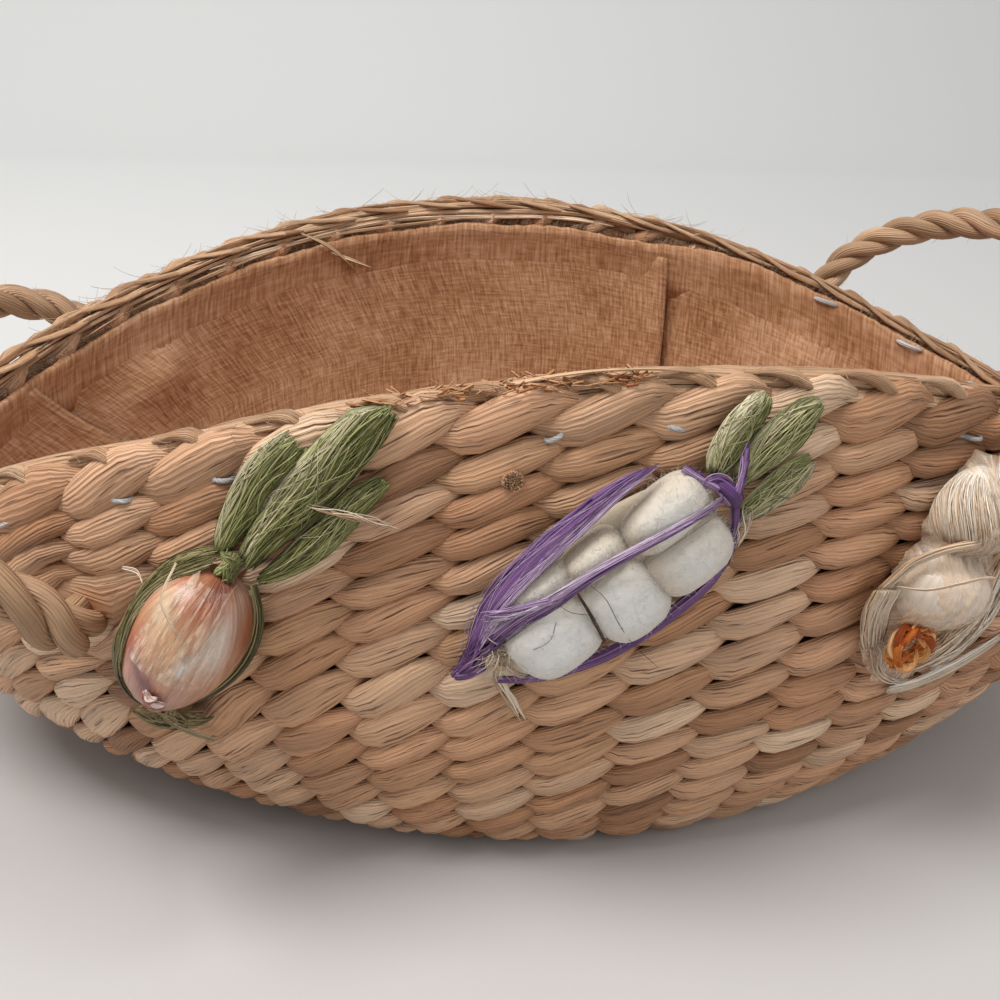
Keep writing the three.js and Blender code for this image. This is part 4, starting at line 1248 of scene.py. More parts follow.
for rope, hairs, line, length in (
    lay_rope("rope_right", "handle_right", 1, 0, "right_handle"),
    lay_rope("rope_left", "handle_left", -1, LEFT_LEAN, "left_handle"),
):
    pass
for corner, gap in zip(("right_back", "left_back", "left_front", "right_front"), ROPE_GAPS):
    splay_tail(f"splayed_end_{corner}", f"rope_tail_{corner}", gap)

# %% [markdown]
# Three vegetables made of fibre and cotton are sewn on the front. Each has a place on the wall
# and a lean, and its pieces are given in millimetres along it, across it and out from the wall.
# The functions here lay such spots on the curved wall.

# %% Places on the front wall
SEAT = 0.3


def front_wall(x, z):
    """The front wall's points at given x and height, its outward and its level directions."""
    low, high = np.zeros(np.shape(x)), np.ones(np.shape(x))
    for _ in range(30):
        rise = (low + high) / 2
        flare = np.sin(rise * np.pi / 2) ** WALL_POWER
        half_length = BASE_HALF_LENGTH + (RIM_HALF_LENGTH - BASE_HALF_LENGTH) * flare
        angle = -np.arccos(np.clip(x / half_length, -1, 1))
        below = wall_point(angle, rise, 0)[..., 2] < z
        low, high = np.where(below, rise, low), np.where(below, high, rise)
    point = wall_point(angle, rise, 0)
    level = unit(wall_point(angle + 1e-4, rise, 0) - point)
    upward = point - wall_point(angle, rise - 1e-4, 0)
    return point, unit(np.cross(level, upward)), level


def sewn_at(x, z, lean):
    """An ornament's middle on the wall and its directions along and across."""
    point, outward, level = front_wall(x * MM, z * MM)
    turn = math.radians(lean)
    along = level * math.cos(turn) + np.cross(outward, level) * math.sin(turn)
    return point, along, np.cross(outward, along)


def on_wall(home, spots):
    """Points for spots of along, across and out in mm, and the outward direction at each."""
    origin, along, across = home
    spots = np.asarray(spots, float)
    flat = origin + (spots[..., :1] * along + spots[..., 1:2] * across) * MM
    seat, outward, _ = front_wall(flat[..., 0], flat[..., 2])
    return seat + outward * (spots[..., 2:] + SEAT) * MM, outward


# %% [markdown]
# A bundle is a handful of flat fibres, smoothed down side by side along a route. Each fibre strays
# and twists a little and may begin late or stop early, so the ends come out ragged. A dark core
# under a bundle is painted shade: it darkens the gaps and keeps the wall from showing between them.

# %% A bundle of fibres
BUNDLE_STEPS = np.linspace(0, 1, 60)
FIBRE_STATIONS = 16
FIBRE_SIDES = 4


def bundle(
    home,
    route,
    half_widths,
    count,
    fibre=(0.15, 0.45),
    dome=0.8,
    stray=0.12,
    start=0.0,
    end=0.0,
    shade=(0.0, 1.0),
    tilt=0.0,
):
    """Fibres along a route of spots; start and end are the shares that some may leave bare."""
    middle = curve(route, len(BUNDLE_STEPS))
    heading = unit(np.gradient(middle[:, :2], axis=0))
    aside = np.stack([-heading[:, 1], heading[:, 0], 0 * heading[:, 0]], axis=-1) * math.cos(tilt)
    aside[:, 2] = -math.sin(tilt)
    half = np.interp(BUNDLE_STEPS, np.linspace(0, 1, len(half_widths)), half_widths)
    # Each fibre's place across the bundle, its beginning and its end.
    place = np.linspace(-1, 1, count)[draw.permutation(count)][:, None]
    share = np.linspace(0, 1, FIBRE_STATIONS)
    first, last = draw.uniform(0, start, (count, 1)), 1 - draw.uniform(0, end, (count, 1))
    at = first + (last - first) * share
    sway = stray * np.sin(share * draw.uniform(2, 8, (count, 1)) + draw.uniform(0, 6, (count, 1)))
    side = np.clip(place + sway, -1, 1)
    reach = side * np.interp(at, BUNDLE_STEPS, half)
    spots = np.stack(
        [
            np.interp(at, BUNDLE_STEPS, middle[:, k]) + reach * np.interp(at, BUNDLE_STEPS, aside[:, k])
            for k in range(3)
        ],
        axis=-1,
    )
    spots[..., 2] += dome * np.sqrt(1 - side**2) * draw.uniform(0.3, 1.1, (count, 1))
    paths, outward = on_wall(home, spots)
    size = draw.uniform(*fibre, (count, 1)) * np.interp(share, [0, 0.1, 0.88, 1], [0.7, 1, 1, 0.5])
    roll = tilt + draw.normal(0, 0.25, (count, 1)) + draw.normal(0, 0.35, (count, 1)) * share
    thick = np.minimum(0.12, size * 0.6)
    flat = strands(paths, size * MM, thick * MM, outward, sides=FIBRE_SIDES, roll=roll)
    tone = (shade[0] + shade[1]) / 2 + (shade[1] - shade[0]) / 2 * place[:, 0]
    tone = np.clip(tone + draw.normal(0, 0.15, count), 0, 1)
    return *flat[:3], np.repeat(tone, FIBRE_STATIONS * FIBRE_SIDES)


def core(home, route, half_widths, thickness, tone=0.0):
    """A body under a bundle, so that no wall shows between its fibres; at a low tone it is painted shade in
    their gaps.
    """
    middle = curve(route, 24)
    half = np.interp(np.linspace(0, 1, 24), np.linspace(0, 1, len(half_widths)), half_widths)
    paths, outward = on_wall(home, middle[None])
    thick = np.minimum(half * 0.8, thickness)[None]
    points, faces, grain, tint = strands(paths, half[None] * 0.85 * MM, thick * MM, outward, sides=10)
    return points, faces, grain, tint * 0 + tone


def fibre_piece(name, parts, material, nodes=()):
    """One piece from several bundles."""
    obj = mesh_piece(name, *gathered(*zip(*parts)))
    settle(obj, material, nodes)


# %% [markdown]
# The bulbs and cloves are cotton, pressed and wound into shape. A body starts as a sphere with its
# poles at its two ends. A formula makes it squarer or tapered, flat against the wall, a little
# lumpy and grooved. Its skin is painted by spot, and fibres or hairs are laid over it.

# %% Stuffed bodies
BODY_LOW = 0.14
LUMPS_MM = 0.15
FUZZ_RADIUS = 0.035 * MM


def dome_height(z, height):
    """Height above the wall for the body's own third direction: flat below, round above."""
    return np.where(z < 0, BODY_LOW * (1 + z), BODY_LOW + (1 - BODY_LOW) * z) * height


def stuffed(name, home, place, size, paint, square, grooves=(), taper=0.0):
    """A body at (along, across) with (length, width, height), its skin painted by spot.

    A groove is the angle round the body, its width and depth, and its two ends along the body.
    """
    deselect()
    bpy.ops.mesh.primitive_uv_sphere_add(segments=56, ring_count=36, rotation=(0, math.pi / 2, 0))
    bpy.ops.object.transform_apply(rotation=True)
    ball, faces = take_apart(bpy.context.object)
    round_share = np.arctan2(ball[:, 1], ball[:, 2]) / (2 * np.pi) + 0.5
    x, y, z = (ball / (np.abs(ball) ** square).sum(axis=1, keepdims=True) ** (1 / square)).T
    lift = np.clip(z + 0.15, 0, 1)
    slope = np.arctan2(ball[:, 1], ball[:, 2])
    y = y * (1 + taper * x)
    out = dome_height(z, size[2]) * (1 + taper * x)
    out += LUMPS_MM * np.sin(7 * x + 3 * slope) * np.sin(4 * slope - 5 * x) * lift
    for angle, wide, deep, first, last in grooves:
        held = np.clip((x - first) / 0.2, 0, 1) * np.clip((last - x) / 0.2, 0, 1)
        out = out - deep * held * lift * np.exp(-(((slope - angle) / wide) ** 2))
    spots = np.stack([place[0] + x * size[0] / 2, place[1] + y * size[1] / 2, out], axis=-1)
    points, _ = on_wall(home, spots)
    obj = mesh_piece(name, points, faces)
    u = []
    for face in faces:
        shares = round_share[list(face)]
        u.extend(shares + (shares < 0.5) * (shares.max() - shares.min() > 0.5))
    corners = np.concatenate(faces)
    girth = math.pi * (size[1] + size[2]) / 2
    grain = np.stack([np.array(u) * girth, x[corners] * size[0] / 2], -1)
    layer = obj.data.uv_layers.new(name="grain")
    layer.data.foreach_set("uv", grain.ravel())
    stain_and_painted_light = obj.data.color_attributes.new("stain_and_painted_light", "FLOAT_COLOR", "POINT")
    stain_and_painted_light.data.foreach_set("color", paint(spots).ravel())
    return obj


def painted(ground, *patches):
    """Colour by spot: soft patches of along, across, long, wide, turn, colour and strength."""

    def paint(spots):
        colour = np.tile(linear(ground), (len(spots), 1))
        for along, across, long, wide, turn, tone, strength in patches:
            a, c = spots[:, 0] - along, spots[:, 1] - across
            turn = math.radians(turn)
            a, c = a * math.cos(turn) + c * math.sin(turn), c * math.cos(turn) - a * math.sin(turn)
            share = strength * np.exp(-((a / long) ** 2) - (c / wide) ** 2)
            colour += (np.array(linear(tone)) - colour) * share[:, None]
        return colour

    return paint


def laid_over(home, place, size, count, slopes, span, fibre, swirl, proud, shade=(0, 1)):
    """Fibres that follow a stuffed body from one end towards the other."""
    share = np.linspace(0, 1, FIBRE_STATIONS)
    first = draw.uniform(span[0], span[0] + 0.2 * (span[1] - span[0]), (count, 1))
    last = draw.uniform(span[1] - 0.2 * (span[1] - span[0]), span[1], (count, 1))
    x = first + (last - first) * share
    slope = draw.uniform(*slopes, (count, 1)) + swirl * share
    slope = slope + draw.normal(0, 0.06, (count, 1)) * share**2
    radius = np.sqrt(np.clip(1 - x**2, 0.01, 1))
    y, z = np.sin(slope) * radius, np.cos(slope) * radius
    out = dome_height(z, size[2]) + proud * draw.uniform(0.3, 1.6, (count, 1))
    spots = np.stack([place[0] + x * size[0] / 2, place[1] + y * size[1] / 2, out], axis=-1)
    paths, outward = on_wall(home, spots)
    middle, _ = on_wall(home, [place[0], place[1], 0.3 * size[2]])
    facing = unit(paths - middle + 0.004 * outward)
    wide = draw.uniform(*fibre, (count, 1)) * np.interp(share, [0, 0.2, 0.8, 1], [0.3, 1, 1, 0.2])
    thick = np.minimum(wide * 0.4, 0.1)
    flat = strands(paths, wide * MM, thick * MM, facing, sides=FIBRE_SIDES)
    tone = draw.uniform(*shade, count)
    return *flat[:3], np.repeat(tone, FIBRE_STATIONS * FIBRE_SIDES)


def fuzz(obj, count, length, facing=0.2):
    """Loose hairs that stand off a stuffed body, where it faces the viewer enough."""
    place = np.array([tuple(v.co) for v in obj.data.vertices])
    normal = np.array([tuple(v.normal) for v in obj.data.vertices])
    shown = np.flatnonzero(normal @ np.array([-0.2, -0.8, 0.4]) > facing)
    pick = shown[draw.integers(0, len(shown), count)]
    jitter = draw.normal(0, 0.25 * MM, (count, 3))
    direction = normal[pick] * 0.5 + draw.normal(0, 0.6, (count, 3))
    long = draw.uniform(*length, count) * MM
    return scatter_hairs(place[pick] + jitter, direction, long, 0.8, FUZZ_RADIUS)


# %% [markdown]
# Cotton and the onion's skin are painted by spot, as their stains, painted highlights and painted shade lie
# at certain places.
# Raffia is split palm leaf: long flat fibres with a satin face, dyed green and purple or left
# straw-coloured. Its fine streaks come from the same recipe as the stalks', only finer.

# %% Raffia, skin and cotton


def stains_and_painted_light(name, streak_mm, contrast, rough, coat=0.0, sheen=0.0, relief_mm=0.3, stretch=0.06):
    """A skin with its colour painted by spot, stains and painted light, under fine lengthwise streaks."""
    material, shader = new_material(
        name, Roughness=rough, Coat_Weight=coat, Coat_Roughness=0.22, Sheen_Weight=sheen
    )
    grain = add_node(material, "ShaderNodeUVMap", uv_map="grain").outputs["UV"]
    colour = add_node(
        material, "ShaderNodeAttribute", attribute_name="stain_and_painted_light", attribute_type="GEOMETRY"
    ).outputs["Color"]
    spot = add_node(
        material,
        "ShaderNodeMapping",
        {"Vector": grain, "Scale": (1 / streak_mm, stretch / streak_mm, 1)},
    ).outputs["Vector"]
    streaks = add_node(
        material,
        "ShaderNodeTexNoise",
        {"Vector": spot, "Scale": 1.0, "Detail": 4.0, "Roughness": 0.6, "Distortion": 0.4},
    ).outputs["Fac"]
    shade = add_node(
        material,
        "ShaderNodeMapRange",
        {
            "Value": streaks,
            "From Min": 0.3,
            "From Max": 0.7,
            "To Min": 1 - contrast,
            "To Max": 1 + contrast * 0.6,
        },
    ).outputs["Result"]
    skin = add_node(
        material,
        "ShaderNodeMix",
        {0: 1.0, 6: colour, 7: shade},
        data_type="RGBA",
        blend_type="MULTIPLY",
    ).outputs[2]
    relief = add_node(
        material, "ShaderNodeBump", {"Height": streaks, "Distance": relief_mm * MM, "Strength": 0.8}
    ).outputs["Normal"]
    connect(material, skin, shader, "Base Color")
    connect(material, relief, shader, "Normal")
    return material


# The onion's skin is dry and papery: deep wrinkles under a shine, over rust-red stains.
ONION_FILM = stains_and_painted_light("onion_film", 1.1, 0.34, 0.38, coat=0.6, relief_mm=0.8, stretch=0.1)
# Cotton wadding is matt and downy: light sinks into it, and only its edges glow.
COTTON_WADDING = stains_and_painted_light("cotton_wadding", 1.3, 0.07, 0.95, sheen=0.25, relief_mm=0.25, stretch=0.8)
# The garlic's cotton is wound tight and dressed, so it has fine pleats and a faint shine.
GARLIC_FILM = stains_and_painted_light("garlic_film", 0.8, 0.16, 0.5, coat=0.3, relief_mm=0.4)
# Green raffia: satin ribbons, from olive through leaf green to the bare straw colour.
GREEN_RAFFIA = hyacinth(
    "green_raffia",
    ["52502e", "7a7a46", "949658", "aca972", "beb48c", "d6cba8"],
    0.3,
    "262a12",
    0.45,
    0.45,
)
# Olive raffia: the same leaf with less dye, greyer and browner.
OLIVE_RAFFIA = hyacinth(
    "olive_raffia", ["4a4428", "756c3f", "988c5e", "b6a87c", "cebf98"], 0.3, "2a2b1a", 0.42, 0.4
)
# Purple raffia took its dye unevenly, so dark and nearly white fibres lie side by side.
PURPLE_RAFFIA = hyacinth(
    "purple_raffia",
    ["5a3868", "7c548a", "9a72a4", "b696bc", "cab0cc", "e0cedd"],
    0.3,
    "3a1f4a",
    0.42,
    0.45,
)
# Undyed raffia is silky: pale highlights over a warm shade.
PALE_STRAW = hyacinth(
    "pale_straw", ["c8a27c", "dcbb98", "e8cdb0", "f0dec8", "f6eadc"], 0.3, "a8825c", 0.4, 0.25
)
# Single cotton hairs are nearly white and without shine.
COTTON_HAIR = hyacinth("cotton_hair", ["d2ccc0", "e8e5de", "dad4c8"], 0.3, "b0aaa0", 0.8, 0.3)
# The roots are curly fibre dyed orange, in tones from deep brown to bright, with painted deep-brown shade
# in their creases.
ORANGE_ROOT = hyacinth(
    "orange_root_fibre", ["9a3f08", "c05a14", "d87c28", "e89c50", "f0ba80"], 0.3, "5c2408", 0.6, 0.5
)

# %% [markdown]
# Leaf film is the clear, crinkled skin of a dry leaf. It is a fine grid laid over the stuffed
# bodies: it bulges over each of them and its sides run down to the wall. Its finish hides more
# where the film is creased, so the fibres under it show through in places.

# %% Clear leaf film


def clear_film(name, colour, streak_mm, thin, thick):
    """Clear film that shines: thin is how much it hides where smooth, thick where creased."""
    material, shader = new_material(name, Roughness=0.3, Coat_Weight=0.6, Coat_Roughness=0.15)
    shader.inputs["Base Color"].default_value = linear(colour)
    grain = add_node(material, "ShaderNodeUVMap", uv_map="grain").outputs["UV"]
    spot = add_node(
        material,
        "ShaderNodeMapping",
        {"Vector": grain, "Scale": (1 / streak_mm, 0.12 / streak_mm, 1)},
    ).outputs["Vector"]
    creases = add_node(
        material,
        "ShaderNodeTexNoise",
        {"Vector": spot, "Scale": 1.0, "Detail": 4.0, "Roughness": 0.6, "Distortion": 0.7},
    ).outputs["Fac"]
    cover = add_node(
        material,
        "ShaderNodeMapRange",
        {"Value": creases, "From Min": 0.46, "From Max": 0.72, "To Min": thin, "To Max": thick},
    ).outputs["Result"]
    relief = add_node(
        material, "ShaderNodeBump", {"Height": creases, "Distance": 0.0012, "Strength": 1.0}
    ).outputs["Normal"]
    connect(material, cover, shader, "Alpha")
    connect(material, relief, shader, "Normal")
    return material


def drape_film(name, home, along, middle, half, bodies, material):
    """A thin film laid over stuffed bodies: it bulges over each and runs flat between them."""
    deselect()
    bpy.ops.mesh.primitive_grid_add(x_subdivisions=90, y_subdivisions=54, size=2)
    grid, faces = take_apart(bpy.context.object)
    faces = np.array(faces)
    share, side = grid[:, 0], grid[:, 1]
    place = np.interp(share, np.linspace(-1, 1, len(along)), along)
    wide = np.interp(share, np.linspace(-1, 1, len(half)), half)
    ragged = 1 + 0.05 * np.sin(share * 17) + 0.04 * np.sin(share * 31 + 2)
    across = np.interp(share, np.linspace(-1, 1, len(middle)), middle) + side * wide * ragged
    height = np.zeros(len(grid))
    for spot, size, taper in bodies:
        x = 2 * (place - spot[0]) / size[0]
        y = 2 * (across - spot[1]) / size[1] / (1 + taper * x)
        over = np.sqrt(np.clip(1 - x**2 - y**2, 0, 1))
        near = np.exp(-2.2 * np.clip(np.hypot(x, y) - 0.86, 0, 9) ** 1.4)
        full = np.where(over > 0.45, dome_height(over, 1), 0.55 * near)
        height = np.maximum(height, full * size[2] * (1 + taper * np.clip(x, -1, 1)))
    pull = 0.3 * np.sin(place * 1.9 + across * 0.8) * np.sin(place * 0.5 - across * 1.3)
    spots = np.stack([place, across, height * (1 - side**8) + 0.7 + pull], axis=-1)
    points, _ = on_wall(home, spots)
    obj = mesh_piece(name, points, faces, spots[:, :2][:, ::-1][faces])
    thicken(obj, 0.06 * MM)
    settle(obj, material)
    rows = points.reshape(len(np.unique(side)), -1, 3)
    size = [np.linalg.norm(np.diff(rows, axis=k), axis=2).sum(axis=k).max() for k in (0, 1)]


# %% [markdown]
# The onion: a cotton bulb under a thin, shiny skin, rust-red at the neck and split at the root,
# where a pink bud shows. A film of olive raffia hugs its upper side, a darker strand its lower
# side, and clear film lies over its neck half. Above the tie, three leaves fan out, each a sheaf
# of green raffia folded over at its tip. Straw hangs from the root.

# %% Onion
ONION = sewn_at(-110, 79, 50)
ONION_SIZE = (42.5, 25.8, 19)
ONION_PLACE = (0, -0.6)
ONION_TAPER = 0.13
# The bud is a twist of pink film, red in its folds: its creases take a painted dark-red shade.
ONION_BUD = hyacinth("onion_bud", ["b0604e", "cf8f7a", "e2b8a4", "f0dcd0"], 0.3, "7a1a20", 0.45)
# The root's straw is olive at the knot and bleached at its ends.
ONION_STRAW = hyacinth(
    "olive_straw", ["5c5a38", "8d7c52", "b09a70", "c9b690", "dccdb0"], 0.3, "3c3a20", 0.5, 0.5
)


def make_onion_bulb():
    skin = painted(
        "bb8664",
        (8, 1, 8, 5, 0, "c69c74", 0.6),
        # The next two spots are painted highlights on the shiny skin: a pale glint and a whitish sheen.
        (13, 5.5, 3.5, 2.2, 0, "e0caa8", 0.7),
        (12, -7, 8, 2.4, 12, "d9d1c6", 0.85),
        (11.5, -12, 9, 1.8, 21, "8a4220", 0.9),
        (1, 7, 6, 2.4, 22, "b4604e", 0.8),
        (3, 11, 9, 1.6, 10, "86703f", 0.7),
        (-5, -6, 5, 4, 0, "b87a62", 0.7),
        # A painted highlight: a small blue-white reflection on the shiny skin.
        (5.2, -3.8, 3.2, 0.9, -18, "eff1f3", 0.95),
        (18.5, 4.8, 3.2, 0.9, -45, "a4562a", 0.9),
        (17.6, -1.6, 4.2, 5.0, 0, "9c4814", 1.0),
        (20, -2.4, 1.8, 2.6, 0, "6e2c0a", 0.9),
        (-3.4, 2, 6, 2.6, 45, "a4463a", 0.7),
        (-3.6, 2.6, 6.6, 1.5, 45, "5e0c14", 1.0),
        (-9, 3.5, 5, 4, 30, "a05848", 0.7),
        (-8, -1.4, 3.2, 2.2, 30, "7c1f20", 0.95),
        (-14.5, 1, 4.5, 3.2, 10, "c48a78", 0.6),
    )
    grooves = [
        (0.12, 0.07, 0.9, -0.5, 0.1),
        (-0.12, 0.06, 0.6, -0.7, -0.2),
        (-0.75, 0.08, 0.35, -0.6, 0.7),
        (-0.3, 0.07, 0.3, -0.1, 0.8),
        (0.5, 0.09, 0.3, -0.9, 0.3),
        (-1.1, 0.1, 0.45, -0.8, 0.6),
    ]
    obj = stuffed(
        "onion_bulb_stuffed", ONION, ONION_PLACE, ONION_SIZE, skin, 2.0, grooves, ONION_TAPER
    )
    settle(obj, ONION_FILM, ["onion_bulb"])
    bud = []
    for route, wide in (
        ([(-6.8, 0.2, 17.2), (-7.6, -1.8, 18.4), (-7.0, -4.4, 17.4)], 1.3),
        ([(-8.2, 0.0, 16.6), (-9.2, -2.2, 17.4), (-9.6, -4.2, 16.2)], 1.1),
        ([(-5.6, 0.8, 17.8), (-6.4, -0.6, 18.6), (-5.6, -2.4, 18.2)], 0.7),
    ):
        bud.append(bundle(ONION, route, [0.4 * wide, wide, 0.4 * wide], 16, (0.2, 0.5), 0.7, 0.4))
    fibre_piece("onion_bud", bud, ONION_BUD)


def wrap_onion():
    film = [(-14, 7.2, 9.5), (-8, 8.8, 12.0), (-2, 10, 12.6), (4, 11, 11.4), (9, 11, 9.4)]
    film += [(14, 9.8, 7.4), (18.5, 7.6, 6), (22, 4.5, 5), (25, 1.5, 4)]
    low = [(-24, -6.4, 1), (-18, -9.6, 1.6), (-12, -11.8, 2), (-6, -13.4, 2.2), (1, -14.2, 2.4)]
    low += [(8, -13.8, 2.8), (15, -11.8, 3.2), (22, -7.6, 4)]
    loose = [(-29, -1.6, 0.6), (-28.6, 2.6, 0.8), (-25.4, 6.6, 1.2), (-19.4, 9.8, 1.8)]
    loose += [(-11, 12, 2.6), (-3, 12.8, 3.0)]
    ribbons = [0.4, 0.8, 1.2, 1.5, 1.7, 2.0, 2.4, 2.4, 1.7]
    threads = [0.6, 1.1, 1.6, 1.9, 2.2, 2.6, 3.0, 2.8, 2.0]
    parts = [
        bundle(ONION, film, ribbons, 20, (0.3, 0.8), 0.5, 0.2, 0.25, 0.1, (0.55, 0.25), 0.9),
        bundle(ONION, film, threads, 40, (0.08, 0.25), 0.8, 0.4, 0.3, 0.2, (0.9, 0.1), 0.9),
        bundle(ONION, low, [0.5, 0.9, 1.2, 1.2, 1.0, 0.6], 22, (0.15, 0.45), 0.8, shade=(0.1, 0.6)),
        bundle(ONION, loose, [0.5, 1.1, 1.4, 1.2, 0.6], 18, (0.2, 0.5), 0.8, 0.3, 0.1, 0.2, (0, 0.6)),
    ]
    fibre_piece("onion_raffia_film", parts, OLIVE_RAFFIA, ["onion_wrap"])


def tie_onion():
    neck = [(21, -1.4, 6.4), (24, -1.6, 5), (27, -1.6, 3.6)]
    cross = [(24, -4.2, 1.6), (24.6, -2.8, 4), (24.8, -1, 4.8), (24.6, 1, 3.8), (24, 2.6, 1.2)]
    parts = [
        bundle(ONION, neck, [2.4, 1.7, 2.4], 70, (0.1, 0.28), 0.6, 0.4, 0.2, 0.2, (0, 0.5)),
        bundle(ONION, cross, [0.9, 1.1, 1.2, 1.1, 0.9], 40, (0.08, 0.22), 0.6, 0.4, 0.1, 0.1, (0, 0.5)),
    ]
    fibre_piece("onion_tie_raffia", parts, GREEN_RAFFIA, ["onion_neck_tie"])


def leaf(name, home, node, route, half_widths, count, shade=(0.2, 0.8)):
    """A sheaf of flat raffia, wide ribbons below and fine fibres on top, folded at its tip."""
    loose = [half + 0.5 for half in half_widths]
    parts = [
        core(home, route[:-1], [half * 0.85 for half in half_widths[:-1]], 0.8, 0.15),
        bundle(home, route, half_widths, count // 2, (0.45, 1.0), 1.05, 0.22, 0.1, 0.06, shade),
        bundle(home, route, half_widths, count, (0.1, 0.3), 1.5, 0.3, 0.2, 0.15, shade),
        bundle(home, route, loose, count // 5, (0.06, 0.14), 2.0, 0.6, 0.3, 0.3, (0.4, 1)),
    ]
    fibre_piece(name, parts, GREEN_RAFFIA, [node])


def make_onion_leaves():
    left = [(24.5, 1.8, 2.6), (29, 2.2, 2.2), (36, 2.2, 1.8), (45, 1.6, 1.6), (52, 0.2, 1.4)]
    left += [(56.5, -1.4, 0.5)]
    leaf("onion_leaf_left_raffia", ONION, "onion_leaf_left", left, [1.4, 2.4, 3.3, 3.7, 3.5, 2.6], 50)
    middle = [(24.5, -4, 3), (31, -4.6, 2.6), (40, -6.2, 2.2), (50, -8.6, 2), (60, -10.8, 1.8)]
    middle += [(68, -12.8, 1.4), (73.5, -14.4, 0.5)]
    widths = [2, 3.2, 4.4, 5, 4.9, 4.4, 3.2]
    leaf("onion_leaf_middle_raffia", ONION, "onion_leaf_middle", middle, widths, 80, (0.15, 0.75))
    right = [(22.5, -8, 2.6), (28, -11.2, 2.4), (36, -14.4, 2), (44, -16.6, 1.8), (52, -18.8, 1.4)]
    right += [(58.5, -21.4, 0.5)]
    widths = [0.8, 2.2, 3.1, 3.2, 2.6, 1.2]
    leaf("onion_leaf_right_raffia", ONION, "onion_leaf_right", right, widths, 50, (0.6, 0.05))


def tuft_onion():
    straw = [(-21.5, -1.4, 6), (-25, -5, 4.4), (-28.5, -9, 2.6), (-29.5, -15, 1.4), (-29, -19, 0.8)]
    bottom = [(-33, 2, 0.8), (-32, -3, 1.4), (-28.4, -8, 1.8), (-24, -12, 1.6), (-20, -15.4, 1)]
    down = [(-20.5, -3, 6), (-24, -5, 4), (-28, -6.4, 2.2), (-32, -7, 0.8)]
    parts = [
        bundle(ONION, straw, [0.5, 0.8, 0.8, 0.5], 12, (0.12, 0.4), 0.5, shade=(0.3, 0.8)),
        bundle(ONION, bottom, [1.2, 2.6, 3.0, 2.2, 0.8], 40, (0.1, 0.45), 0.9, 0.5, 0.2, 0.3, (0, 0.5)),
        bundle(ONION, down, [1.6, 3.4, 5.0, 4.4], 44, (0.08, 0.35), 1.2, 0.5, 0.1, 0.45, (0, 0.5)),
    ]
    fibre_piece("onion_root_straw", parts, ONION_STRAW, ["onion_root_tuft"])
    across_leaves = [(45.5, -9, 4), (47.5, -16, 3.8), (49.5, -23, 3.2), (50.2, -29.5, 1.6)]
    on_bulb = [(22, 8, 10.5), (16.5, 6.4, 16.4), (13, 0.4, 19.4)]
    loose = [(6, 18.8, 1.2), (8, 15.6, 2.2), (10, 12.6, 6.5)]
    parts = [
        bundle(ONION, across_leaves, [0.3, 0.8, 0.9, 0.25], 9, (0.08, 0.2), 0.4, 0.7, 0.3, 0.4, (0, 0.7)),
        bundle(ONION, on_bulb, [0.15, 0.3, 0.15], 3, (0.08, 0.13), 0.1, shade=(0.3, 0.8)),
        bundle(ONION, loose, [0.3, 0.6, 0.3], 5, (0.1, 0.25), 0.2, shade=(0.2, 0.7)),
    ]
    fibre_piece("onion_loose_straws", parts, PALE_STRAW)


make_onion_bulb()
wrap_onion()
tie_onion()
make_onion_leaves()
tuft_onion()
drape_film(
    "onion_clear_film",
    ONION,
    [0, 21],
    [-0.6, -0.6],
    [11.6, 12, 11.6, 10.6, 9.0, 6.8, 4.4],
    [(ONION_PLACE, ONION_SIZE, ONION_TAPER)],
    clear_film("clear_onion_film", "efdcc0", 1.1, 0.0, 0.4),
)
print("onion made")

# %% [markdown]
# The pod: six cloves of cotton wadding in two columns on a thin bed of the same, painted darker as
# shade between them. A wide purple ribbon lines its upper side, a narrow one runs over the middle
# and one peeps out below. They meet in a dark bunch at the low end and in a knot at the top, where
# three leaves stand out. A straw tuft sticks out at the low end, and a few dark hairs lie over the cotton.

# %% Pod
POD = sewn_at(-20.7, 93.6, 40.9)
# Stray hairs are the darkest lines on the pale cotton, and fine enough to read as real.
DARK_HAIR = hyacinth("dark_stray_hair", ["3c2c28", "4a3a30", "7a5a3c"], 0.3, "241814", 0.5)
# Along, across, length, width, height in mm, and the colours of body, edge and low end; the darker
# edge and low-end colours are painted shade.
POD_CLOVES = {
    "left_1": (21.6, 5.8, 21, 12.4, 8.8, "e0ded8", "b9a68c", "cbbaa0"),
    "left_2": (4.6, 9.0, 15.6, 9.6, 8.2, "ebe3d4", "cbb99e", "d8c8b0"),
    "left_3": (-9.6, 10.8, 21, 8.0, 7.4, "f2ece0", "d8cab2", "e6dcc8"),
    "right_1": (19.6, -5.8, 20.8, 15.4, 9.4, "d9d6cf", "b8a690", "cfbfaa"),
    "right_2": (2.8, -4.6, 18.6, 20.0, 9.8, "e0dfdc", "b5a894", "dad6ce"),
    "right_3": (-14.2, -1.0, 21.6, 19.0, 9.4, "e1e0de", "b5a894", "dcd9d4"),
}


def stuff_cloves():
    hairs = []
    for name, (along, across, length, width, height, body, edge, low) in POD_CLOVES.items():
        # The body colour fills the middle; the darker edge and low-end colours round it are painted shade.
        skin = painted(
            edge,
            (along, across, length * 0.5, width * 0.46, 0, body, 0.97),
            (along - length * 0.42, across, length * 0.22, width * 0.4, 0, low, 0.6),
        )
        obj = stuffed(
            f"pod_clove_{name}_cotton", POD, (along, across), (length, width, height), skin, 2.9
        )
        settle(obj, COTTON_WADDING, [f"pod_clove_{name}"])
        hairs.append(fuzz(obj, 600, (0.4, 2.0)))
    # The bed is painted a darker beige than the cloves, as painted shade in the gaps between them.
    bed = stuffed("pod_cotton_bed", POD, (-1, 1.6), (66, 27, 4.6), painted("c4b49c"), 2.2)
    settle(bed, COTTON_WADDING)
    hairs.append(fuzz(bed, 500, (0.8, 3.0), -0.3))
    fibre_piece("pod_cotton_hairs", hairs, COTTON_HAIR)


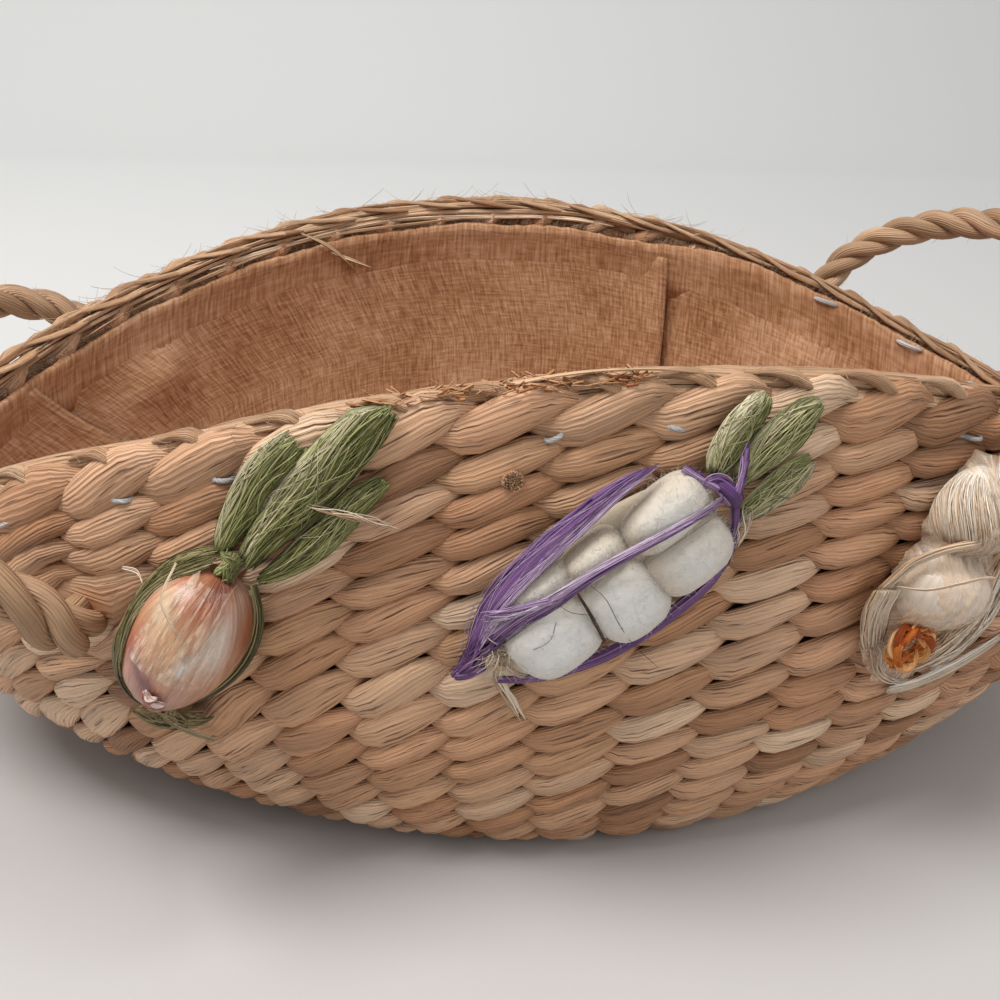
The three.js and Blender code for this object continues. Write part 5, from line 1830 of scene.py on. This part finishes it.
def lay_ribbons():
    """The purple ribbons: the wide one above, the one over the middle, the one below."""
    left = [(-36, 5.4, 1.6), (-31, 7.6, 3), (-25, 11.6, 4.6), (-17.5, 15.2, 5), (-8, 17.3, 5.2)]
    left += [(1, 18.2, 5.2), (9.5, 18.3, 5), (17.5, 18.2, 4.6), (28, 16, 3)]
    half = [0.8, 1.8, 2.9, 3.0, 2.9, 2.6, 2.3, 1.6, 0.5]
    loose = [1.2, 2.6, 3.8, 3.8, 3.4, 3.1, 2.6, 1.8, 0.7]
    parts = [
        core(POD, left, [1, 1.6, 1.8, 1.8, 1.6, 1.2, 0.8, 0.4, 0.2], 1.0, 0.25),
        bundle(POD, left, half, 18, (0.25, 0.6), 0.4, 0.2, 0.05, 0.2, (0.75, 0.05), 0.85),
        bundle(POD, left, half, 70, (0.06, 0.2), 0.9, 0.35, 0.15, 0.3, (1, 0), 0.85),
        bundle(POD, left, loose, 16, (0.05, 0.1), 1.6, 0.5, 0.2, 0.4),
    ]
    fibre_piece("pod_ribbon_left", parts, PURPLE_RAFFIA, ["pod_strip_left"])
    middle = [(-27, 8, 4.4), (-21, 9.6, 7), (-14, 9.8, 8), (-8, 9.2, 9), (-1.5, 9, 9.2), (5, 8.4, 9.4)]
    middle += [(12, 7.4, 9.8), (21, 5.4, 9.8), (28, 3.2, 8.6), (34, 1, 6)]
    fold = [(-6.5, 9.4, 9.2), (-12, 11.4, 8.6), (-17, 13.2, 7.8), (-22, 15.4, 6.2)]
    ribbons = [1.2, 1.5, 1.2, 1.0, 0.9, 0.8, 0.7, 0.6]
    threads = [2.6, 2.8, 2.0, 1.4, 1.2, 1.0, 0.9, 0.8]
    parts = [
        bundle(POD, middle, ribbons, 10, (0.15, 0.4), 0.1, 0.2, 0, 0.02, (0.1, 0.7)),
        bundle(POD, middle, threads, 40, (0.06, 0.16), 0.4, 0.35, 0.3, 0.1, (0, 0.9)),
        bundle(POD, fold, [0.8, 1.1, 1.4, 1.2], 12, (0.1, 0.4), 0.4, 0.4, 0.1, 0.25, (0.4, 1)),
    ]
    fibre_piece("pod_ribbon_middle", parts, PURPLE_RAFFIA, ["pod_strip_middle"])
    right = [(-31.5, -2.5, 2), (-26, -7.4, 2), (-17, -12, 2.2), (-9.5, -14.8, 2.2), (1.5, -16.6, 2.2)]
    right += [(11, -16.9, 2.2), (18, -16.4, 2.4), (25, -13.8, 2.8), (30.5, -9.6, 3.2), (34, -4, 4)]
    half = [0.9, 1.2, 1.3, 1.4, 1.3, 1.0, 0.8]
    parts = [
        core(POD, right, [0.8, 1.1, 1.2, 1.2, 1.1, 0.9, 0.6], 1.2, 0.05),
        bundle(POD, right, half, 22, (0.2, 0.55), 0.8, 0.12, shade=(0.1, 0.4)),
    ]
    fibre_piece("pod_ribbon_right", parts, PURPLE_RAFFIA, ["pod_strip_right"])


def tie_pod():
    bunch = [(-21, 9.6, 5.6), (-26, 8.6, 4.6), (-31, 6.4, 3.2), (-36.5, 4.6, 1.4)]
    tail = [(-31, 3.4, 3), (-34.5, 3.8, 2.2), (-39, 4.4, 0.8)]
    parts = [
        bundle(POD, bunch, [3.4, 3.0, 2.2, 1.0], 34, (0.15, 0.5), 1.4, 0.2, 0.25, 0.2, (0, 0.3)),
        core(POD, tail, [1.4, 1.6, 0.8], 1.6, 0.1),
        bundle(POD, tail, [1.6, 2.0, 1.4], 20, (0.2, 0.5), 1.0, 0.2, 0, 0.2, (0.1, 0.45)),
    ]
    fibre_piece("pod_tail_ribbon", parts, PURPLE_RAFFIA, ["pod_tail"])
    around = [(33.6, -4, 2), (34.6, -2, 5.6), (35, 0.4, 6.6), (34.8, 2.8, 5.4), (34, 5.2, 2.4)]
    ring = [(31.6, 4.6, 4.4), (33, 6.4, 5), (35.4, 5.6, 5.2), (36.4, 2.8, 5.4), (35, 0.2, 6.2)]
    free = [(34.4, -0.6, 6.6), (37, 0.8, 6.6), (40.5, 3.2, 5.6), (44.8, 7.2, 4.4)]
    brown = [(34, 3.4, 5.8), (32.8, 6.6, 4.8), (31.2, 11.6, 3.4)]
    parts = [
        core(POD, around, [1.0, 1.5, 1.7, 1.5, 0.9], 2, 0),
        bundle(POD, around, [1.0, 1.6, 1.8, 1.6, 0.9], 20, (0.2, 0.5), 0.4, shade=(0, 0.35)),
        bundle(POD, ring, [0.4, 0.7, 0.7, 0.5], 7, (0.1, 0.3), 0.3, 0.3, 0.05, 0.2, (0.2, 0.8)),
        bundle(POD, free, [0.5, 0.8, 0.9, 0.7], 10, (0.1, 0.28), 0.4, 0.4, 0.1, 0.3, (0.1, 0.7)),
        bundle(POD, brown, [0.4, 0.7, 0.8], 5, (0.2, 0.5), 0.3, shade=(0.1, 0.5)),
    ]
    fibre_piece("pod_knot_ribbon", parts, PURPLE_RAFFIA, ["pod_knot"])


def make_pod_leaves():
    left = [(35, 4.8, 3), (38.5, 6.6, 2.8), (43, 8.6, 2.4), (48, 9.6, 2), (52, 9.8, 1.4)]
    left += [(54.5, 10.2, 0.5)]
    widths = [1.6, 3.2, 3.4, 3.5, 3.0, 1.8]
    leaf("pod_leaf_left_raffia", POD, "pod_leaf_left", left, widths, 56, (0.2, 1.0))
    middle = [(36.5, 0.4, 3.4), (41, 0.8, 3), (46, 1.0, 2.6), (51, 0.6, 2.2), (57, 0.4, 1.6)]
    middle += [(62.5, -0.4, 0.5)]
    widths = [1.4, 2.8, 4.2, 4.8, 4.2, 1.6]
    leaf("pod_leaf_middle_raffia", POD, "pod_leaf_middle", middle, widths, 64, (0.5, 0.75))
    right = [(33, -7, 2.6), (37, -8.4, 2.4), (42, -9, 2), (48, -9.6, 1.6), (53.6, -10.4, 0.5)]
    widths = [1.2, 2.8, 3.6, 3.4, 1.6]
    leaf("pod_leaf_right_raffia", POD, "pod_leaf_right", right, widths, 52, (1.0, 0.5))


def loosen_pod():
    count = 90
    spots = np.stack(
        [draw.normal(-26, 1.6, count), draw.normal(4, 1.8, count), draw.uniform(3.5, 6, count)], -1
    )
    start, outward = on_wall(POD, spots)
    direction = -POD[1] * 0.8 - POD[2] * 0.5 + draw.normal(0, 0.7, (count, 3)) + 0.4 * outward
    tuft = scatter_hairs(start, direction, draw.uniform(1.5, 5, count) * MM, 0.7, 0.11 * MM)
    ribbon = [(-28, 1.4, 4), (-31, -2, 2), (-34, -10.5, 1), (-36, -17.5, 1)]
    strand = [(-27, 1, 4.6), (-27, -4.6, 3), (-24.2, -10.4, 1.2)]
    frays = [(28, -12.6, 3.6), (33, -9, 4.4), (36.5, -6, 3.4)]
    parts = [
        tuft,
        bundle(POD, ribbon, [0.6, 1.1, 1.3, 0.9], 9, (0.15, 0.4), 0.3, 0.3, 0, 0.3, (0.2, 0.8)),
        bundle(POD, strand, [0.2, 0.4, 0.3], 3, (0.1, 0.25), 0.2, shade=(0.5, 1)),
        bundle(POD, frays, [0.8, 1.4, 1.8], 12, (0.06, 0.14), 0.8, 0.5, 0.3, 0.4, (0.3, 0.9)),
    ]
    fibre_piece("pod_straw_tuft", parts, PALE_STRAW)
    routes = [
        [(1, 7, 9.6), (1.5, 3.5, 10.2), (-0.5, -4.5, 10), (-2, -12, 8), (-3, -16.5, 4), (-3.5, -28, 1)],
        [(-7.4, 9.6, 7.6), (-6.4, 4.6, 8.6), (-4, 1.6, 9.2)],
        [(-10, 4.6, 8.6), (-14, 2.2, 9.6), (-19, 2.6, 8.8), (-24, 2, 6)],
        [(30, 0.4, 8.4), (20, 1.4, 8.6), (12, 2.4, 8.8)],
    ]
    hairs = []
    for route in routes:
        hairs.append(bundle(POD, route, [0.1, 0.2, 0.1], 1, (0.06, 0.08), 0, shade=(0.3, 0.3)))
    seam = [(-2.5, 7, 8.4), (-3.4, 2.5, 8.8), (-4.8, -3, 8.8), (-6.4, -8.4, 6.6)]
    hairs.append(bundle(POD, seam, [0.2, 0.3, 0.3], 5, (0.08, 0.2), 0.3, 0.4, shade=(0.3, 1)))
    fibre_piece("pod_dark_hairs", hairs, DARK_HAIR)


stuff_cloves()
lay_ribbons()
tie_pod()
make_pod_leaves()
loosen_pod()
print("pod made")

# %% [markdown]
# The garlic: two cotton bulbs in line. The upper one is wrapped in silky straw, the lower one has
# a few pleats and one straw over it, and clear film covers both. Straw ribbon runs down the side,
# folds over and ends in loose fibres. Below sit curled orange roots, and a pale band crosses
# underneath.

# %% Garlic
GARLIC = sewn_at(70.4, 95.5, 88)
BULB_SIZE = (21.6, 22.5, 15)
UPPER_BULB = (10.6, 2)
LOWER_BULB = (-10.8, 2.2)
LOWER_TAPER = 0.22
ROOT_LOCKS = 46
ROOT_STATIONS = 18


def make_garlic_bulbs():
    upper = painted("dccdb8", (14, 0, 8, 8, 0, "efebe4", 0.8), (6, 8, 4, 4, 0, "c4ac90", 0.6))
    grooves = [(a, 0.07, 0.5, -0.9, 0.9) for a in (-0.9, -0.45, 0.05, 0.5, 0.95)]
    obj = stuffed("garlic_upper_cotton", GARLIC, UPPER_BULB, BULB_SIZE, upper, 2.0, grooves)
    settle(obj, GARLIC_FILM, ["garlic_bulb_upper"])
    # Painted shade: the lower bulb is near white in its middle and beige towards its rim and low end.
    lower = painted(
        "ccb8a0",
        (-9.5, 1, 9, 8.4, 0, "efedea", 0.97),
        (-12, 7.5, 5, 3, 0, "dccab6", 0.6),
        (-18, 1, 3, 6, 0, "ccb8a0", 0.6),
        (-6, -9, 5, 3, 0, "c4b39c", 0.6),
    )
    grooves = [
        (-0.28, 0.05, 0.6, -1.0, 0.3),
        (0.12, 0.05, 0.7, -1.0, 0.1),
        (0.5, 0.07, 0.35, -1.0, -0.1),
        (-0.75, 0.08, 0.4, -0.9, 0.5),
    ]
    obj = stuffed(
        "garlic_lower_cotton", GARLIC, LOWER_BULB, BULB_SIZE, lower, 2.0, grooves, LOWER_TAPER
    )
    settle(obj, GARLIC_FILM, ["garlic_bulb_lower"])


def dress_garlic():
    wrap = laid_over(GARLIC, UPPER_BULB, BULB_SIZE, 200, (-2, 1.4), (-1, 1), (0.05, 0.14), 0.8, 0.4)
    # Painted glints: thirty wider fibres in the palest straw tones stand for the shine of the silk.
    glint_fibres = laid_over(
        GARLIC, UPPER_BULB, BULB_SIZE, 30, (-1.6, 1.1), (-1, 1), (0.2, 0.45), 0.7, 0.25, (0.6, 1)
    )
    neck = [(17, -0.4, 10.5), (21, -0.9, 7.4), (25.5, -1.9, 5.6), (29.5, -3.6, 4.4), (32.8, -5.6, 3)]
    straw_line = [(-9.5, 17, 4.6), (-7, 13.4, 10.4), (-3.4, 8.6, 13.8), (-1, 3, 15.2), (-1.4, -2, 15)]
    parts = [
        wrap,
        glint_fibres,
        core(GARLIC, neck, [4.4, 3.8, 3.4, 2.4], 3, 0.3),
        bundle(GARLIC, neck, [5.0, 4.4, 4.0, 3.2], 70, (0.12, 0.5), 1.4, 0.15, 0.2, 0.2),
    ]
    fibre_piece("garlic_straw_neck", parts, PALE_STRAW, ["garlic_neck"])
    loop = [(11, 0, 16), (7, 6, 13), (2.5, 11.4, 8.6), (-2.5, 15.8, 5.6), (-7, 17.8, 4.4), (-12, 20, 3.2)]
    fold = [(-10.6, 18.6, 4.4), (-16, 18.2, 3.6), (-22.5, 15.6, 2.6), (-28, 12.6, 1.8)]
    below = [(-27, 13, 2), (-31, 10, 2), (-36, 6.6, 1.6), (-40, 1, 1.2), (-41.4, -6, 1), (-41, -13, 0.8)]
    parts = [
        bundle(GARLIC, loop, [0.8, 1.0, 1.3, 1.4, 1.2], 22, (0.12, 0.5), 0.6, 0.2, shade=(0.1, 0.9)),
        core(GARLIC, fold, [3.4, 3.6, 3.2, 2.6], 0.5, 0.45),
        bundle(GARLIC, fold, [3.8, 4.0, 3.6, 2.8], 26, (0.4, 0.9), 0.6, 0.06, shade=(0.3, 0.8)),
        bundle(GARLIC, fold, [3.9, 4.1, 3.7, 2.9], 26, (0.08, 0.2), 0.9, 0.12, 0.1, 0.2, (0.5, 1)),
        bundle(GARLIC, below, [1.8, 1.2, 0.8, 0.7], 12, (0.08, 0.25), 0.5, 0.4, 0.1, 0.3, (0.5, 1)),
        bundle(GARLIC, straw_line, [0.15, 0.3, 0.15], 3, (0.1, 0.22), 0.1, shade=(0.2, 0.5)),
    ]
    fibre_piece("garlic_side_straw", parts, PALE_STRAW, ["garlic_side_loop"])
    band = [(-43.5, -1, 1.2), (-42.6, -8, 1.2), (-40, -16, 1.3), (-36, -25, 1.4), (-29, -37, 1.4)]
    inner = [(6, -12.6, 6), (-6, -14.8, 4), (-18, -15.4, 3), (-29, -10, 2), (-36, -1, 1)]
    outer = [(4, -17, 4), (-8, -21, 3), (-20, -22.4, 2.4), (-31, -17, 1.8), (-38, -7, 1)]
    parts = [
        core(GARLIC, band, [1.2, 1.5, 1.6, 1.6, 1.4], 0.5, 0.6),
        bundle(GARLIC, band, [1.4, 1.8, 1.9, 1.9, 1.6], 26, (0.15, 0.6), 0.5, 0.1, 0.02, 0.03, (0.6, 1)),
        bundle(GARLIC, inner, [2.5, 4.2, 5.6, 5.6, 3.5], 110, (0.08, 0.4), 1.4, 0.35, 0.2, 0.3, (0.1, 0.9)),
        bundle(GARLIC, outer, [2.5, 4, 4.6, 4.4, 2], 64, (0.08, 0.4), 1.2, 0.4, 0.25, 0.35, (0.3, 1)),
    ]
    fibre_piece("garlic_pale_band", parts, PALE_STRAW, ["garlic_band"])


def curl_roots():
    """Locks that curl round one middle, and loose fibres that stand off them."""
    centre = np.array([-25, 5.8, 4.6])
    reach = np.array([8.6, 7.6, 5.4])
    paths = []
    for lock in range(ROOT_LOCKS):
        turn, tip = draw.uniform(0, 2 * np.pi), draw.uniform(-0.3, 1.3)
        t = np.linspace(0, draw.uniform(1.6, 3.4), ROOT_STATIONS)
        face = np.stack([np.cos(turn + t * 0.9), np.sin(turn + t * 0.9), np.sin(tip + t * 0.6)], -1)
        swell = (0.7 + 0.22 * np.sin(t * 2.2 + lock))[:, None]
        paths.append(centre + reach * unit(face) * swell)
    spots = np.array(paths)
    spots[..., 2] = np.maximum(spots[..., 2], 0.8)
    path, outward = on_wall(GARLIC, spots)
    taper = np.interp(np.arange(ROOT_STATIONS), [0, 4, 13, 17], [0.4, 1, 1, 0.4])
    wide = draw.uniform(0.5, 1.25, (ROOT_LOCKS, 1)) * taper
    roll = np.linspace(0, 2, ROOT_STATIONS)
    locks = strands(path, wide * MM, wide * 0.7 * MM, outward, sides=8, roll=roll)
    start, away = path[:, ::3].reshape(-1, 3), outward[:, ::3].reshape(-1, 3)
    count = 420
    pick = draw.integers(0, len(start), count)
    direction = away[pick] * 0.5 + draw.normal(0, 0.7, (count, 3))
    hairs = scatter_hairs(start[pick], direction, draw.uniform(1, 2.6, count) * MM, 0.9, 0.07 * MM)
    fibre_piece("garlic_orange_roots", [locks, hairs], ORANGE_ROOT, ["garlic_root_ball"])


make_garlic_bulbs()
dress_garlic()
curl_roots()
drape_film(
    "garlic_clear_film",
    GARLIC,
    [-41, 25],
    [-1, -2, -2, -1, 0],
    [6, 15, 18, 18, 17, 14, 12, 9, 5],
    [(UPPER_BULB, BULB_SIZE, 0), (LOWER_BULB, BULB_SIZE, LOWER_TAPER)],
    clear_film("clear_garlic_film", "ecd2b6", 1.7, 0.18, 0.72),
)
print("garlic made")

# %% [markdown]
# The floor only serves the picture: a wide plane whose back edge is pulled up and rounded, as a
# sheet of studio paper is. A large lamp at the upper left gives soft shadows, a weak one at the
# right lifts them, and the room adds even light from all sides.

# %% Floor, light and view


def light_scene():
    scene = bpy.context.scene
    scene.view_settings.view_transform = "Standard"
    world = bpy.data.worlds.new("soft room")
    world.use_nodes = True
    world.node_tree.nodes["Background"].inputs["Color"].default_value = (0.86, 0.88, 0.9, 1)
    world.node_tree.nodes["Background"].inputs["Strength"].default_value = 0.54
    scene.world = world
    for name, place, size, power in (
        ("window", (-0.7, -0.2, 1.45), 0.75, 28),
        ("fill", (1.1, -0.9, 0.9), 1.2, 5),
    ):
        lamp = bpy.data.lights.new(name, "AREA")
        lamp.size = size
        lamp.energy = power
        obj = bpy.data.objects.new(name, lamp)
        obj.location = place
        aim = Vector((0, 0, 0.06)) - Vector(place)
        obj.rotation_euler = aim.to_track_quat("-Z", "Y").to_euler()
        bpy.context.collection.objects.link(obj)


def pick_back_edge(obj):
    """Select only the edge that lies on the ground at the back."""
    bpy.ops.mesh.select_all(action="DESELECT")
    bpy.ops.object.mode_set(mode="OBJECT")
    for edge in obj.data.edges:
        ends = [obj.data.vertices[v].co for v in edge.vertices]
        edge.select = all(end.y > 1 and end.z < 0.1 for end in ends)
    bpy.ops.object.mode_set(mode="EDIT")


def lay_floor():
    """A pale floor that sweeps up into a low wall behind the basket."""
    deselect()
    bpy.ops.mesh.primitive_plane_add(size=1)
    floor = bpy.context.object
    floor.name = "pale_floor"
    bpy.ops.object.mode_set(mode="EDIT")
    bpy.ops.mesh.select_mode(type="EDGE")
    bpy.ops.transform.resize(value=(9, 5.6, 1), center_override=(0, 0, 0))
    bpy.ops.transform.translate(value=(0, -0.8, 0))
    pick_back_edge(floor)
    bpy.ops.mesh.extrude_region_move(TRANSFORM_OT_translate={"value": (0, 0, 1.15)})
    pick_back_edge(floor)
    bpy.ops.mesh.bevel(offset=0.6, segments=24)
    bpy.ops.object.mode_set(mode="OBJECT")
    bpy.ops.object.shade_smooth()
    # Matt board, darker near the viewer and paler towards the back: painted light that darkens the table
    # round the basket's soft shadow and brightens the backdrop.
    material, shader = new_material("pale_table", Roughness=0.8)
    place = add_node(material, "ShaderNodeTexCoord").outputs["Object"]
    spots = add_node(material, "ShaderNodeSeparateXYZ", {"Vector": place})
    back = add_node(
        material,
        "ShaderNodeMapRange",
        {"Value": spots.outputs["Y"], "From Min": -0.1, "From Max": 1.3, "To Min": 0.0, "To Max": 1.0},
    ).outputs["Result"]
    paint = add_node(
        material,
        "ShaderNodeMix",
        {0: back, 6: linear("b9b5b2"), 7: linear("eeedea")},
        data_type="RGBA",
    ).outputs[2]
    connect(material, paint, shader, "Base Color")
    floor.data.materials.append(material)


light_scene()
lay_floor()
